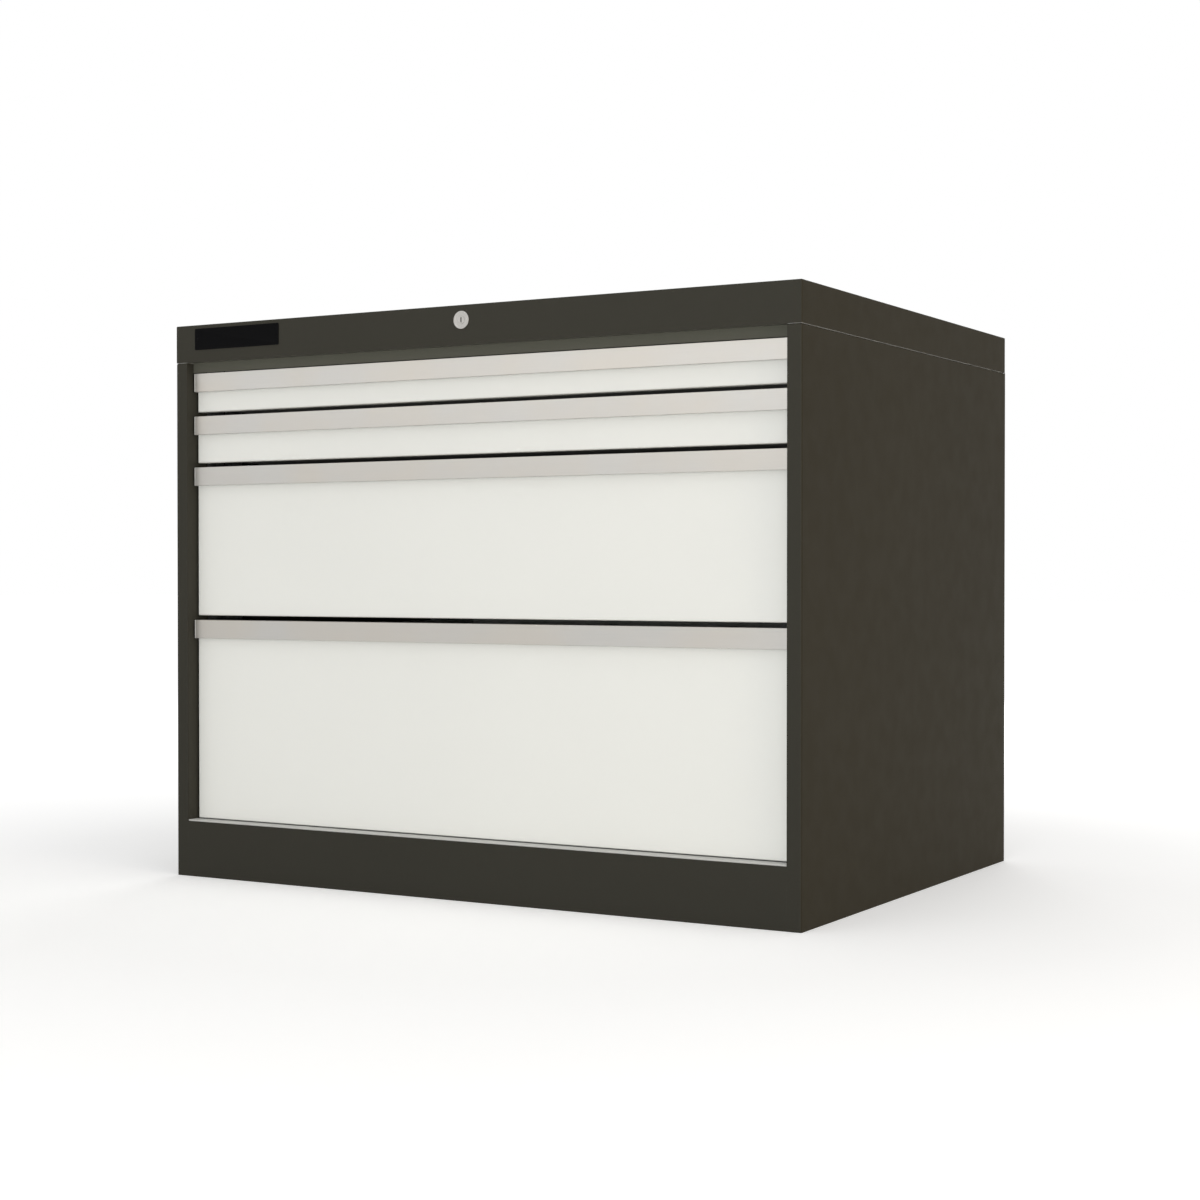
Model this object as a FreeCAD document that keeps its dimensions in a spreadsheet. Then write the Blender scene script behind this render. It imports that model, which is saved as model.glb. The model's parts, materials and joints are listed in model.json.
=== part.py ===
import FreeCAD, Part
import os
import re
import Sketcher

# Heavy-duty drawer cabinet, millimetres. X runs across the front, Y from the
# front plane to the back, Z up. The origin is the centre of the footprint.
# Every body is drawn with Y counted from the front plane of the cabinet.

doc = FreeCAD.newDocument("drawer_cabinet")

SIZES = (
    ("cabinet_width", 1010, "over the side panels"),
    ("cabinet_depth", 755, "front plane to the back panel's outer face"),
    ("base_height", 80.5, "floor to the top of the floor deck"),
    ("module_1", 75, "height taken by the top drawer"),
    ("module_2", 75, "height taken by the second drawer"),
    ("module_3", 225, "height taken by the third drawer"),
    ("module_4", 300, "height taken by the bottom drawer"),
    ("cover_height", 54, "lower edge of the fascia to the cabinet's top"),
    ("cover_gap", 0.5, "joint between the side panels and the cover"),
    ("cover_sheet", 1.5, "top cover and top deck"),
    ("cover_flange", 12, "return flange at the cover's sides and back"),
    ("cover_round", 1.6, "outer bends of the cover"),
    ("deck_play", 0.3, "top deck to the cover's front and its rear flange"),
    ("deck_lip", 14.5, "top deck's lip, down to the top handle"),
    ("deck_lip_front", 14, "front plane to the lip"),
    ("deck_lip_gap", 0.5, "lip's ends to the posts"),
    ("panel_sheet", 1.5, "side panels, uprights and base"),
    ("panel_flange", 8, "flange round the top of a side panel"),
    ("panel_round", 2.5, "outer bends of a side panel"),
    ("back_sheet", 1.5, "back panel"),
    ("post_width", 20.3, "front face of a post"),
    ("post_return", 45, "inner wall of a post, front to back"),
    ("floor_sheet", 1.5, "floor deck"),
    ("sill_height", 2.7, "folded front edge of the floor deck over its top"),
    ("sill_depth", 18, "folded front edge of the floor deck"),
    ("sill_round", 0.5, "front edge of the floor deck"),
    ("plinth_rise", 2.1, "plinth's face over its top flange"),
    ("plinth_flange", 30, "flanges of the front and rear plinth"),
    ("beam_spacing", 600, "between the two floor beams"),
    ("beam_flange", 25, "flanges of a floor beam"),
    ("upright_width", 80, "slotted upright, front to back"),
    ("upright_reach", 11.8, "slotted upright, across the wall"),
    ("upright_play", 0.3, "post return to front upright"),
    ("rear_upright_back", 26, "rear upright to the rear flange"),
    ("slot_width", 4, "slot in an upright"),
    ("slot_height", 16, "slot in an upright"),
    ("slot_pitch", 25, "height between slots"),
    ("slot_first", 12.5, "module's lower edge to its first slot's centre"),
    ("hook_sheet", 3.4, "hook that hangs a rail in a slot"),
    ("hook_height", 10, "hook that hangs a rail in a slot"),
    ("hook_lip", 1.5, "hook's lip behind the upright"),
    ("hook_drop", 5, "hook's lip below the slot"),
    ("hook_play", 0.3, "hook's lip to the upright"),
    ("runner_space", 33.2, "post's inner face to the tray's side"),
    ("runner_axis", 30, "module's lower edge to the roller axles"),
    ("rail_sheet", 2, "cabinet rails and drawer rails"),
    ("rail_flange", 12, "flange of a rail beyond its web"),
    ("rail_front", 40, "front plane to the cabinet rail"),
    ("rail_back", 12, "cabinet rail to the rear flange"),
    ("drawer_rail_front", 38, "front plane to the drawer rail"),
    ("roller_radius", 11, "rollers"),
    ("roller_width", 10, "rollers"),
    ("roller_play", 0.3, "roller to the track that it carries"),
    ("roller_lift", 0.5, "roller to the track on its free side"),
    ("roller_round", 0.8, "edges of the rollers"),
    ("axle_radius", 4, "axle stubs"),
    ("axle_play", 0.05, "roller bore over the axle"),
    ("head_radius", 6, "riveted heads and shoulders of the axles"),
    ("head_sheet", 1, "riveted heads and shoulders of the axles"),
    ("head_play", 0.2, "roller's side to the axle head"),
    ("strip_sheet", 2, "carriage strip"),
    ("strip_height", 28, "carriage strip"),
    ("strip_end", 12, "carriage strip beyond its end axles"),
    ("strip_round", 9.3, "corners of the carriage strip"),
    ("stop_sheet", 2, "end stops of the rails"),
    ("stop_drop", 4, "end stops below the roller axles"),
    ("stop_gap", 0.3, "roller to an end stop"),
    ("front_setback", 20.4, "front plane to a drawer front"),
    ("front_sheet", 1.5, "drawer fronts"),
    ("front_flange", 15, "flanges round a drawer front"),
    ("front_side_gap", 3, "drawer front to the post"),
    ("front_bottom_gap", 3.5, "module's lower edge to the drawer front"),
    ("front_top_gap", 3.2, "handle's top to the module's upper edge"),
    ("top_drawer_drop", 12, "extra space over the top drawer"),
    ("front_round", 1.2, "outer bends of a drawer front"),
    ("handle_setback", 12.3, "front plane to the handle's face"),
    ("handle_height", 27, "face of the handle"),
    ("handle_wall", 2.2, "handle's section"),
    ("handle_lip", 1.2, "grip bead behind the handle's lower edge"),
    ("handle_lip_height", 3.5, "grip bead behind the handle's lower edge"),
    ("handle_leg", 5, "legs that hook the handle on the front"),
    ("handle_leg_wall", 1.2, "legs that hook the handle on the front"),
    ("handle_round", 0.9, "long edges of the handle"),
    ("handle_play", 0.2, "handle's legs to the front"),
    ("cap_sheet", 2, "end caps of the handle"),
    ("tray_sheet", 1.2, "drawer trays"),
    ("tray_bottom_gap", 6, "module's lower edge to the tray"),
    ("tray_top_gap", 14, "tray's rim to the module's upper edge"),
    ("tray_back", 41.5, "tray to the cabinet's back face, less the back panel"),
    ("tray_rim", 4, "rim folded outwards round a tray"),
    ("wall_slot_width", 3, "slots for dividers in a tray's walls"),
    ("wall_slot_height", 26, "slots for dividers in a tray's walls"),
    ("wall_slot_pitch", 34, "slots for dividers in a tray's walls"),
    ("wall_slot_row", 75, "height between rows of divider slots"),
    ("wall_slot_top", 6, "tray's rim to the top row of slots"),
    ("wall_slot_end", 30, "corner of a tray to its first slot"),
    ("plate_width", 155, "blank name plate"),
    ("plate_height", 31, "blank name plate"),
    ("plate_sheet", 1, "blank name plate"),
    ("plate_left", 36.5, "cabinet's left side to the name plate"),
    ("plate_bottom", 17.3, "fascia's lower edge to the name plate"),
    ("plate_round", 2, "corners of the name plate"),
    ("lock_height", 33.5, "fascia's lower edge to the lock's axis"),
    ("lock_face_radius", 12.2, "face of the lock"),
    ("lock_face_sheet", 1.2, "face of the lock"),
    ("lock_face_round", 0.6, "rim of the lock's face"),
    ("lock_body_radius", 9, "threaded body of the lock"),
    ("lock_body_length", 22, "threaded body of the lock"),
    ("lock_hole_play", 0.2, "lock's body in the fascia and in its nut"),
    ("lock_nut_sheet", 4, "nut behind the fascia"),
    ("lock_nut_radius", 13.5, "nut behind the fascia, over its corners"),
    ("plug_radius", 5.5, "plug that the key turns"),
    ("plug_play", 0.05, "plug in the lock's body"),
    ("plug_end", 2, "plug behind the lock's body"),
    ("key_slot_width", 1.6, "key slot"),
    ("key_slot_height", 7, "key slot"),
    ("key_slot_depth", 12, "key slot"),
    ("cam_sheet", 2.5, "cam behind the plug"),
    ("cam_width", 9, "cam behind the plug"),
    ("cam_round", 3, "corners of the cam"),
    ("cam_reach", 10, "plug's axis to the cam's pin"),
    ("cam_pin_radius", 2, "cam's pin"),
    ("cam_screw_radius", 4, "head of the screw that holds the cam"),
    ("cam_screw_height", 1.2, "head of the screw that holds the cam"),
    ("cam_screw_length", 8, "screw that holds the cam, inside the plug"),
    ("cam_screw_slot", 0.8, "driver slot in the screw that holds the cam"),
    ("link_gap", 1.5, "cam to the link, front to back"),
    ("link_sheet", 2, "link from the cam to the lock bar"),
    ("link_height", 16, "link from the cam to the lock bar"),
    ("link_edge", 5, "axis of a pin to the link's lower edge"),
    ("link_end", 6, "axis of a pin to the link's end"),
    ("link_shoulder", 8, "pin of the lock bar to the link's deep end"),
    ("link_slope", 4, "slanted edge where the link gets deeper"),
    ("link_play", 0.5, "cam's pin in the link"),
    ("bar_throw", 12, "travel of the lock bar"),
    ("bar_sheet", 3, "lock bar, across the wall"),
    ("bar_depth", 12, "lock bar, front to back"),
    ("bar_play", 0.3, "lock bar to the post and to its guides"),
    ("bar_arm", 28, "post's inner face to the pin of the lock bar"),
    ("bar_pin_radius", 2, "pin of the lock bar"),
    ("finger_back", 27, "front plane to the back of the fingers"),
    ("finger_sheet", 3, "fingers of the lock bar, front to back"),
    ("finger_height", 8, "fingers of the lock bar"),
    ("finger_level", 40, "module's lower edge to a finger, unlocked"),
    ("finger_reach", 8, "fingers beyond the post's inner face"),
    ("finger_play", 1, "fingers in the windows and notches"),
    ("guide_height", 10, "guides of the lock bar"),
    ("guide_sheet", 2, "guides of the lock bar and of the link"),
    ("screw_radius", 2, "screws of the back panel"),
    ("screw_head_radius", 3.5, "countersunk heads"),
    ("screw_length", 8, "screws of the back panel"),
    ("screw_play", 0.1, "screws in their holes"),
    ("screw_inset", 11, "cabinet's side to the screws"),
    ("screw_end", 45, "back panel's edges to the first screws"),
    ("screw_pitch", 133, "height between screws"),
    ("screw_count", 6, "screws along each side of the back panel"),
)

PLACES = (
    ("half_width", "cabinet_width / 2"),
    ("opening_half", "half_width - post_width"),
    ("bottom_4", "base_height"),
    ("bottom_3", "bottom_4 + module_4"),
    ("bottom_2", "bottom_3 + module_3"),
    ("bottom_1", "bottom_2 + module_2"),
    ("stack_top", "bottom_1 + module_1"),
    ("cover_bottom", "stack_top + cover_gap"),
    ("back_inner", "cabinet_depth - back_sheet"),
    ("rear_flange_front", "back_inner - panel_sheet"),
    ("front_upright_front", "post_return + upright_play"),
    ("rear_upright_front", "rear_flange_front - rear_upright_back - upright_width"),
    ("rail_rear", "rear_flange_front - rail_back"),
    ("tray_front", "front_setback + front_sheet"),
    ("tray_rear", "back_inner - tray_back"),
    ("stop_reach", "stop_sheet + stop_gap + roller_radius"),
    ("open_axle", "rail_front + stop_reach"),
    ("travel", "tray_rear - stop_reach - open_axle"),
    ("middle_axle", "open_axle + travel / 2"),
    ("front_axle", "drawer_rail_front + stop_reach"),
    ("rear_axle", "rail_rear - stop_reach"),
    ("strip_inner", "opening_half - runner_space / 2 - strip_sheet / 2"),
    ("strip_outer", "strip_inner + strip_sheet"),
    ("tray_half", "opening_half - runner_space"),
    ("front_half", "opening_half - front_side_gap"),
    ("track_low", "runner_axis - roller_radius - roller_play"),
    ("track_high", "runner_axis + roller_radius + roller_lift"),
    ("drawer_track_low", "runner_axis - roller_radius - roller_lift"),
    ("drawer_track_high", "runner_axis + roller_radius + roller_play"),
    ("front_top_1", "module_1 - top_drawer_drop - front_top_gap"),
    ("front_top_2", "module_2 - front_top_gap"),
    ("front_top_3", "module_3 - front_top_gap"),
    ("front_top_4", "module_4 - front_top_gap"),
    ("tray_top_1", "module_1 - top_drawer_drop - tray_top_gap"),
    ("tray_top_2", "module_2 - tray_top_gap"),
    ("tray_top_3", "module_3 - tray_top_gap"),
    ("tray_top_4", "module_4 - tray_top_gap"),
    ("lock_axis", "cover_bottom + lock_height"),
    ("plug_back", "lock_body_length + plug_end"),
    ("cam_back", "plug_back + cam_sheet"),
    ("link_front", "cam_back + link_gap"),
    ("link_back", "link_front + link_sheet"),
    ("cam_offset", "cam_reach * sqrt(0.5)"),
    ("link_travel", "cam_reach * sqrt(2)"),
    ("link_bottom", "lock_axis - cam_reach - link_edge"),
    ("link_top", "link_bottom + link_height"),
    ("bar_pin_x", "opening_half - bar_arm"),
    ("bar_pin_z", "link_bottom + link_height / 2"),
    ("bar_inner", "opening_half + panel_sheet + bar_play"),
    ("finger_front", "finger_back - finger_sheet"),
    ("notch_low", "finger_level - bar_throw - finger_play"),
    ("notch_high", "finger_level + finger_height + finger_play"),
)

sizes = doc.addObject("Spreadsheet::Sheet", "Sizes")
for row, (alias, number, note) in enumerate(SIZES, 1):
    sizes.set("A%d" % row, str(number))
    sizes.setAlias("A%d" % row, alias)
    sizes.set("B%d" % row, note)
doc.recompute()

OWNER = {alias: "Sizes." for alias, number, note in SIZES}
OWNER.update({alias: "Places." for alias, text in PLACES})


def formula(text):
    """Put the owning sheet before every size that a formula names."""
    return re.sub(r"[a-z][a-z_]*[a-z0-9]", lambda word: OWNER.get(word[0], "") + word[0], text)


places = doc.addObject("Spreadsheet::Sheet", "Places")
for row, (alias, text) in enumerate(PLACES, 1):
    places.setAlias("A%d" % row, alias)
for row, (alias, text) in enumerate(PLACES, 1):
    places.set("A%d" % row, "=" + formula(text).replace("Places.", ""))
doc.recompute()


reading = doc.addObject("Spreadsheet::Sheet", "Reading")


def value(text):
    """Number that a formula gives now."""
    reading.set("A1", "=" + formula(text))
    reading.recompute()
    return float(reading.get("A1"))


def minus(text):
    return "-(" + text + ")"


def rectangle(left, right, low, high):
    """Corners of a rectangle, anticlockwise."""
    return ((left, low), (right, low), (right, high), (left, high))


def flipped(loop):
    """The same outline on the other side of the middle plane."""
    return tuple((minus(across), up) for across, up in loop)


def new_body(name, z="0"):
    """Body whose Y is counted from the cabinet's front plane."""
    body = doc.addObject("PartDesign::Body", name)
    body.Label = name
    body.setExpression(".Placement.Base.y", formula("-cabinet_depth / 2"))
    body.setExpression(".Placement.Base.z", formula(z))
    return body


def add_outline(sketch, loop):
    """Closed outline of straight lines; each corner is a pair of formulas."""
    first = sketch.GeometryCount
    corners = [FreeCAD.Vector(value(a), value(b), 0) for a, b in loop]
    count = len(corners)
    for step, corner in enumerate(corners):
        sketch.addGeometry(Part.LineSegment(corner, corners[(step + 1) % count]), False)
    for step in range(count):
        after = first + (step + 1) % count
        sketch.addConstraint(Sketcher.Constraint("Coincident", first + step, 2, after, 1))
    for step, (a, b) in enumerate(loop):
        for kind, text, number in (("DistanceX", a, corners[step].x), ("DistanceY", b, corners[step].y)):
            index = sketch.addConstraint(Sketcher.Constraint(kind, first + step, 1, number))
            sketch.setExpression("Constraints[%d]" % index, formula(text))


def add_circle(sketch, across, up, radius):
    """Circle whose centre and radius are formulas."""
    centre = FreeCAD.Vector(value(across), value(up), 0)
    circle = Part.Circle(centre, FreeCAD.Vector(0, 0, 1), value(radius))
    number = sketch.addGeometry(circle, False)
    for kind, text, start in (("DistanceX", across, centre.x), ("DistanceY", up, centre.y)):
        index = sketch.addConstraint(Sketcher.Constraint(kind, number, 3, start))
        sketch.setExpression("Constraints[%d]" % index, formula(text))
    index = sketch.addConstraint(Sketcher.Constraint("Radius", number, value(radius)))
    sketch.setExpression("Constraints[%d]" % index, formula(radius))


def new_sketch(body, plane, start, loops, circles=()):
    """Sketch on an origin plane of the body, moved along the plane's axis to start."""
    sketch = body.newObject("Sketcher::SketchObject", body.Name + "_sketch")
    support = [item for item in body.Origin.OriginFeatures if item.Role == plane + "_Plane"]
    sketch.AttachmentSupport = [(support[0], "")]
    sketch.MapMode = "FlatFace"
    away = minus(start) if plane == "XZ" else start
    sketch.setExpression(".AttachmentOffset.Base.z", formula(away))
    for loop in loops:
        add_outline(sketch, loop)
    for circle in circles:
        add_circle(sketch, *circle)
    return sketch


def pad(body, plane, start, length, *loops, circles=()):
    """Add the outlines, from start over length, along the plane's positive axis."""
    feature = body.newObject("PartDesign::Pad", body.Name + "_pad")
    feature.Profile = new_sketch(body, plane, start, loops, circles)
    feature.Reversed = plane == "XZ"
    feature.setExpression("Length", formula(length))
    return feature


def cut(body, plane, start, length, *loops, circles=()):
    """Remove the outlines, from start over length, along the plane's positive axis."""
    feature = body.newObject("PartDesign::Pocket", body.Name + "_cut")
    feature.Profile = new_sketch(body, plane, start, loops, circles)
    feature.Reversed = plane != "XZ"
    feature.setExpression("Length", formula(length))
    return feature


def origin_axis(body, letter):
    return [item for item in body.Origin.OriginFeatures if item.Role == letter + "_Axis"][0]


def repeat(body, feature, across, up=None):
    """Grid of copies; across and up each give axis, spacing and count."""
    pattern = body.newObject("PartDesign::LinearPattern", body.Name + "_pattern")
    pattern.Originals = [feature]
    for end, given in (("", across), ("2", up)):
        if given:
            letter, spacing, count = given
            setattr(pattern, "Direction" + end, (origin_axis(body, letter), [""]))
            setattr(pattern, "Mode" + end, "Spacing")
            pattern.setExpression("Offset" + end, formula(spacing))
            pattern.setExpression("Occurrences" + end, formula(count))
    body.Tip = pattern
    return pattern


def round_edges(body, radius, wanted):
    """Round the edges of the finished shape for which wanted(box) is true."""
    doc.recompute()
    base = body.Tip
    names = []
    for number, edge in enumerate(base.Shape.Edges, 1):
        if wanted(edge.BoundBox):
            names.append("Edge%d" % number)
    feature = body.newObject("PartDesign::Fillet", body.Name + "_round")
    feature.Base = (base, names)
    feature.setExpression("Radius", formula(radius))
    return feature


def near(a, b):
    return abs(a - b) < 0.01


def mirror(source, name):
    """The same piece for the other side of the cabinet."""
    item = doc.addObject("Part::Mirroring", name)
    item.Source = source
    item.Normal = FreeCAD.Vector(1, 0, 0)
    return item


def placed(name, sources, y="0", z="0"):
    """Node that holds copies of finished pieces, moved back by y and up by z."""
    item = doc.addObject("Part::Compound", name)
    item.Label = name
    item.Links = sources
    item.setExpression(".Placement.Base.y", formula(y))
    item.setExpression(".Placement.Base.z", formula(z))
    return item


nodes = []


def side_panel(name, lock_side):
    """Outer skin with its front post, rear flange, top flange and bottom flange."""
    body = new_body(name)
    skin = "half_width - panel_sheet"
    inner = "opening_half + panel_sheet"
    pad(body, "XY", "0", "stack_top", (
        ("opening_half", "0"),
        ("half_width", "0"),
        ("half_width", "back_inner"),
        ("opening_half", "back_inner"),
        ("opening_half", "rear_flange_front"),
        (skin, "rear_flange_front"),
        (skin, "panel_sheet"),
        (inner, "panel_sheet"),
        (inner, "post_return"),
        ("opening_half", "post_return")))
    pad(body, "XY", "0", "panel_sheet", rectangle(inner, skin, "panel_sheet", "rear_flange_front"))
    edge = "half_width - panel_flange"
    pad(body, "XY", "stack_top - panel_sheet", "panel_sheet", (
        (inner, "panel_sheet"),
        (skin, "panel_sheet"),
        (skin, "rear_flange_front"),
        (edge, "rear_flange_front"),
        (edge, "panel_flange"),
        (inner, "panel_flange")))
    top = value("stack_top")
    side = value("half_width")

    def outer_bend(box):
        upright = near(box.XMin, side) and near(box.XMax, side) and near(box.YMax, 0)
        side_top = near(box.XMin, side) and near(box.XMax, side) and near(box.ZMin, top)
        front_top = near(box.YMax, 0) and near(box.YMin, 0) and near(box.ZMin, top)
        return upright or side_top or front_top

    round_edges(body, "panel_round", outer_bend)
    hole = cut(body, "XZ", "rear_flange_front", "panel_sheet", circles=(
        ("half_width - screw_inset", "screw_end", "screw_radius + screw_play"),))
    repeat(body, hole, ("Z", "screw_pitch", "screw_count"))
    if lock_side:
        for number in range(1, 5):
            level = "bottom_%d + " % number
            cut(body, "YZ", "opening_half", "panel_sheet", rectangle(
                "finger_front - finger_play", "finger_back + finger_play",
                level + "notch_low", level + "notch_high"))
        outer = "bar_inner + bar_sheet + bar_play"
        for level in ("bottom_3", "bottom_1"):
            loop = "finger_back - bar_depth - bar_play"
            pad(body, "XY", level + " - guide_height / 2", "guide_height", (
                (inner, loop + " - guide_sheet"),
                (outer + " + guide_sheet", loop + " - guide_sheet"),
                (outer + " + guide_sheet", "finger_back + bar_play + guide_sheet"),
                (inner, "finger_back + bar_play + guide_sheet"),
                (inner, "finger_back + bar_play"),
                (outer, "finger_back + bar_play"),
                (outer, loop),
                (inner, loop)))
    return body


def screw_profile(body, across, play):
    """Half section of a countersunk screw on its axis, grown by play."""
    sketch = body.newObject("Sketcher::SketchObject", "screw_sketch")
    support = [item for item in body.Origin.OriginFeatures if item.Role == "XY_Plane"]
    sketch.AttachmentSupport = [(support[0], "")]
    sketch.MapMode = "FlatFace"
    sketch.setExpression(".AttachmentOffset.Base.x", formula(across))
    sketch.setExpression(".AttachmentOffset.Base.z", formula("screw_end"))
    head = "screw_head_radius + " + play
    shank = "screw_radius + " + play
    add_outline(sketch, (
        ("0", "cabinet_depth"),
        (head, "cabinet_depth"),
        (shank, "back_inner"),
        (shank, "cabinet_depth - screw_length"),
        ("0", "cabinet_depth - screw_length")))
    return sketch


def back_panel():
    """Flat sheet behind the rear flanges, with countersunk holes."""
    body = new_body("back_panel")
    pad(body, "XZ", "back_inner", "back_sheet", rectangle(
        minus("half_width"), "half_width", "0", "stack_top"))
    for side in ("", "-"):
        across = side + "(half_width - screw_inset)"
        hole = body.newObject("PartDesign::Groove", "screw_hole")
        hole.Profile = screw_profile(body, across, "screw_play")
        hole.ReferenceAxis = (hole.Profile[0], ["V_Axis"])
        repeat(body, hole, ("Z", "screw_pitch", "screw_count"))
    return body


def top_cover():
    """Inverted pan, open at the front of its lower edge, with a return flange on the other three."""
    body = new_body("top_cover", "cover_bottom")
    half, depth, sheet = "half_width", "cabinet_depth", "cover_sheet"
    pad(body, "XY", "0", "cover_height", rectangle(minus(half), half, "0", depth))
    side, back, top = value(half), value(depth), value("cover_height")

    def outer_bend(box):
        corner = (near(abs(box.XMin), side) and near(box.XMin, box.XMax)
                  and (near(box.YMax, 0) or near(box.YMin, back)) and near(box.YMin, box.YMax))
        return corner or near(box.ZMin, top)

    round_edges(body, "cover_round", outer_bend)
    inner = "half_width - " + sheet
    flange = "half_width - cover_sheet - cover_flange"
    cut(body, "XY", "cover_sheet", "cover_height - 2 * cover_sheet", rectangle(
        minus(inner), inner, sheet, "cabinet_depth - cover_sheet"))
    cut(body, "XY", "0", "cover_sheet", rectangle(
        minus(flange), flange, sheet, "cabinet_depth - cover_sheet - cover_flange"))
    cut(body, "XZ", "0", "cover_sheet", circles=(
        ("0", "lock_height", "lock_body_radius + lock_hole_play"),))
    return body


def top_deck():
    """Deck over the drawers with a lip over the top handle and the two guides of the lock link."""
    body = new_body("top_deck", "cover_bottom")
    half = "opening_half + panel_sheet"
    lip = "opening_half - deck_lip_gap"
    pad(body, "XY", "0", "cover_sheet", rectangle(
        minus(half), half, "cover_sheet + deck_play",
        "cabinet_depth - cover_sheet - cover_flange - deck_play"))
    pad(body, "XY", "-deck_lip", "deck_lip", rectangle(
        minus(lip), lip, "deck_lip_front", "deck_lip_front + cover_sheet"))
    low = "link_bottom - cover_bottom - bar_play"
    high = "link_top - cover_bottom + bar_play"
    for across in ("opening_half / 4", "opening_half * 3 / 4"):
        pad(body, "YZ", across, "guide_height", rectangle(
            "link_front - bar_play - guide_sheet", "link_back + bar_play + guide_sheet",
            "cover_sheet", high + " + guide_sheet"))
        cut(body, "YZ", across, "guide_height", rectangle(
            "link_front - bar_play", "link_back + bar_play", low, high))
    return body


def base_frame():
    """Front and rear plinth joined by two beams under the floor deck."""
    body = new_body("base_frame")
    top = "base_height - floor_sheet"
    sheet = "panel_sheet"
    pad(body, "YZ", "-opening_half", "2 * opening_half", (
        ("0", "0"),
        ("plinth_flange", "0"),
        ("plinth_flange", sheet),
        (sheet, sheet),
        (sheet, top + " - panel_sheet"),
        ("plinth_flange", top + " - panel_sheet"),
        ("plinth_flange", top),
        (sheet, top),
        (sheet, top + " + plinth_rise"),
        ("0", top + " + plinth_rise")))
    for start, way in (("-beam_spacing / 2", "-"), ("beam_spacing / 2", "")):
        web, tip = way + "(beam_spacing / 2 - panel_sheet)", way + "(beam_spacing / 2 - beam_flange)"
        pad(body, "XZ", sheet, "rear_flange_front - panel_sheet", (
            (start, "0"),
            (start, top),
            (tip, top),
            (tip, top + " - panel_sheet"),
            (web, top + " - panel_sheet"),
            (web, sheet),
            (tip, sheet),
            (tip, "0")))
    back, lip = "back_inner", "back_inner - plinth_flange"
    pad(body, "YZ", "-opening_half", "2 * opening_half", (
        (back, "0"),
        (back, top),
        (lip, top),
        (lip, top + " - panel_sheet"),
        ("rear_flange_front", top + " - panel_sheet"),
        ("rear_flange_front", sheet),
        (lip, sheet),
        (lip, "0")))
    return body


def floor_deck():
    """Sheet below the bottom drawer, folded over at its front edge to make the sill."""
    body = new_body("floor_deck", "base_height - floor_sheet")
    edge = "panel_sheet + deck_play"
    pad(body, "XY", "0", "floor_sheet", rectangle("-opening_half", "opening_half", edge, "back_inner"))
    pad(body, "XY", "floor_sheet", "sill_height", rectangle(
        "-opening_half", "opening_half", edge, edge + " + sill_depth"))
    front = value("panel_sheet") + value("deck_play")
    level = value("floor_sheet") + value("sill_height")
    round_edges(body, "sill_round", lambda box: near(box.YMax, front) and near(box.ZMin, level))
    return body


def upright(name):
    """Slotted channel on which the cabinet rails hang."""
    body = new_body(name)
    tip = "opening_half + upright_reach"
    web = "opening_half + panel_sheet"
    front = "front_upright_front"
    back = "front_upright_front + upright_width"
    pad(body, "XY", "panel_sheet", "cover_bottom - panel_sheet", (
        ("opening_half", front),
        (tip, front),
        (tip, front + " + panel_sheet"),
        (web, front + " + panel_sheet"),
        (web, back + " - panel_sheet"),
        (tip, back + " - panel_sheet"),
        (tip, back),
        ("opening_half", back)))
    middle = "front_upright_front + upright_width / 2"
    for number in range(1, 5):
        level = "bottom_%d + slot_first" % number
        slot = cut(body, "YZ", "opening_half", "panel_sheet", rectangle(
            middle + " - slot_width / 2", middle + " + slot_width / 2",
            level + " - slot_height / 2", level + " + slot_height / 2"))
        repeat(body, slot, ("Z", "slot_pitch", "floor(module_%d / slot_pitch)" % number))
    return body


def cabinet_rail(name):
    """Channel that hangs on the uprights; the outer rollers run in it."""
    body = new_body(name)
    wall, web = "opening_half", "opening_half - rail_sheet"
    tip = "opening_half - rail_sheet - rail_flange"
    pad(body, "XZ", "rail_front", "rail_rear - rail_front", (
        (wall, "track_low - rail_sheet"),
        (wall, "track_high + rail_sheet"),
        (tip, "track_high + rail_sheet"),
        (tip, "track_high"),
        (web, "track_high"),
        (web, "track_low"),
        (tip, "track_low"),
        (tip, "track_low - rail_sheet")))
    for start in ("rail_front", "rail_rear - stop_sheet"):
        pad(body, "XZ", start, "stop_sheet", rectangle(
            tip, web, "runner_axis - stop_drop", "track_high"))
    seat = "slot_first + slot_pitch - slot_height / 2"
    back = "opening_half + panel_sheet + hook_play"
    for start in ("front_upright_front", "rear_upright_front"):
        pad(body, "XZ", start + " + upright_width / 2 - hook_sheet / 2", "hook_sheet", (
            (wall, seat),
            (back, seat),
            (back, seat + " - hook_drop"),
            (back + " + hook_lip", seat + " - hook_drop"),
            (back + " + hook_lip", seat + " + hook_height"),
            (wall, seat + " + hook_height")))
    return body


def stub(body, axle, side):
    """Riveted axle stub with its shoulder and head, on one side of the strip."""
    strip, way = ("strip_outer", 1) if side == "outer" else ("strip_inner", -1)

    def disc(start, length, radius):
        begin = "%s + %s" % (strip, start) if way > 0 else "%s - (%s) - (%s)" % (strip, start, length)
        pad(body, "YZ", begin, length, circles=((axle, "runner_axis", radius),))

    disc("0", "head_sheet", "head_radius")
    disc("head_sheet", "roller_width + 2 * head_play", "axle_radius")
    disc("head_sheet + roller_width + 2 * head_play", "head_sheet", "head_radius")


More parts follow.
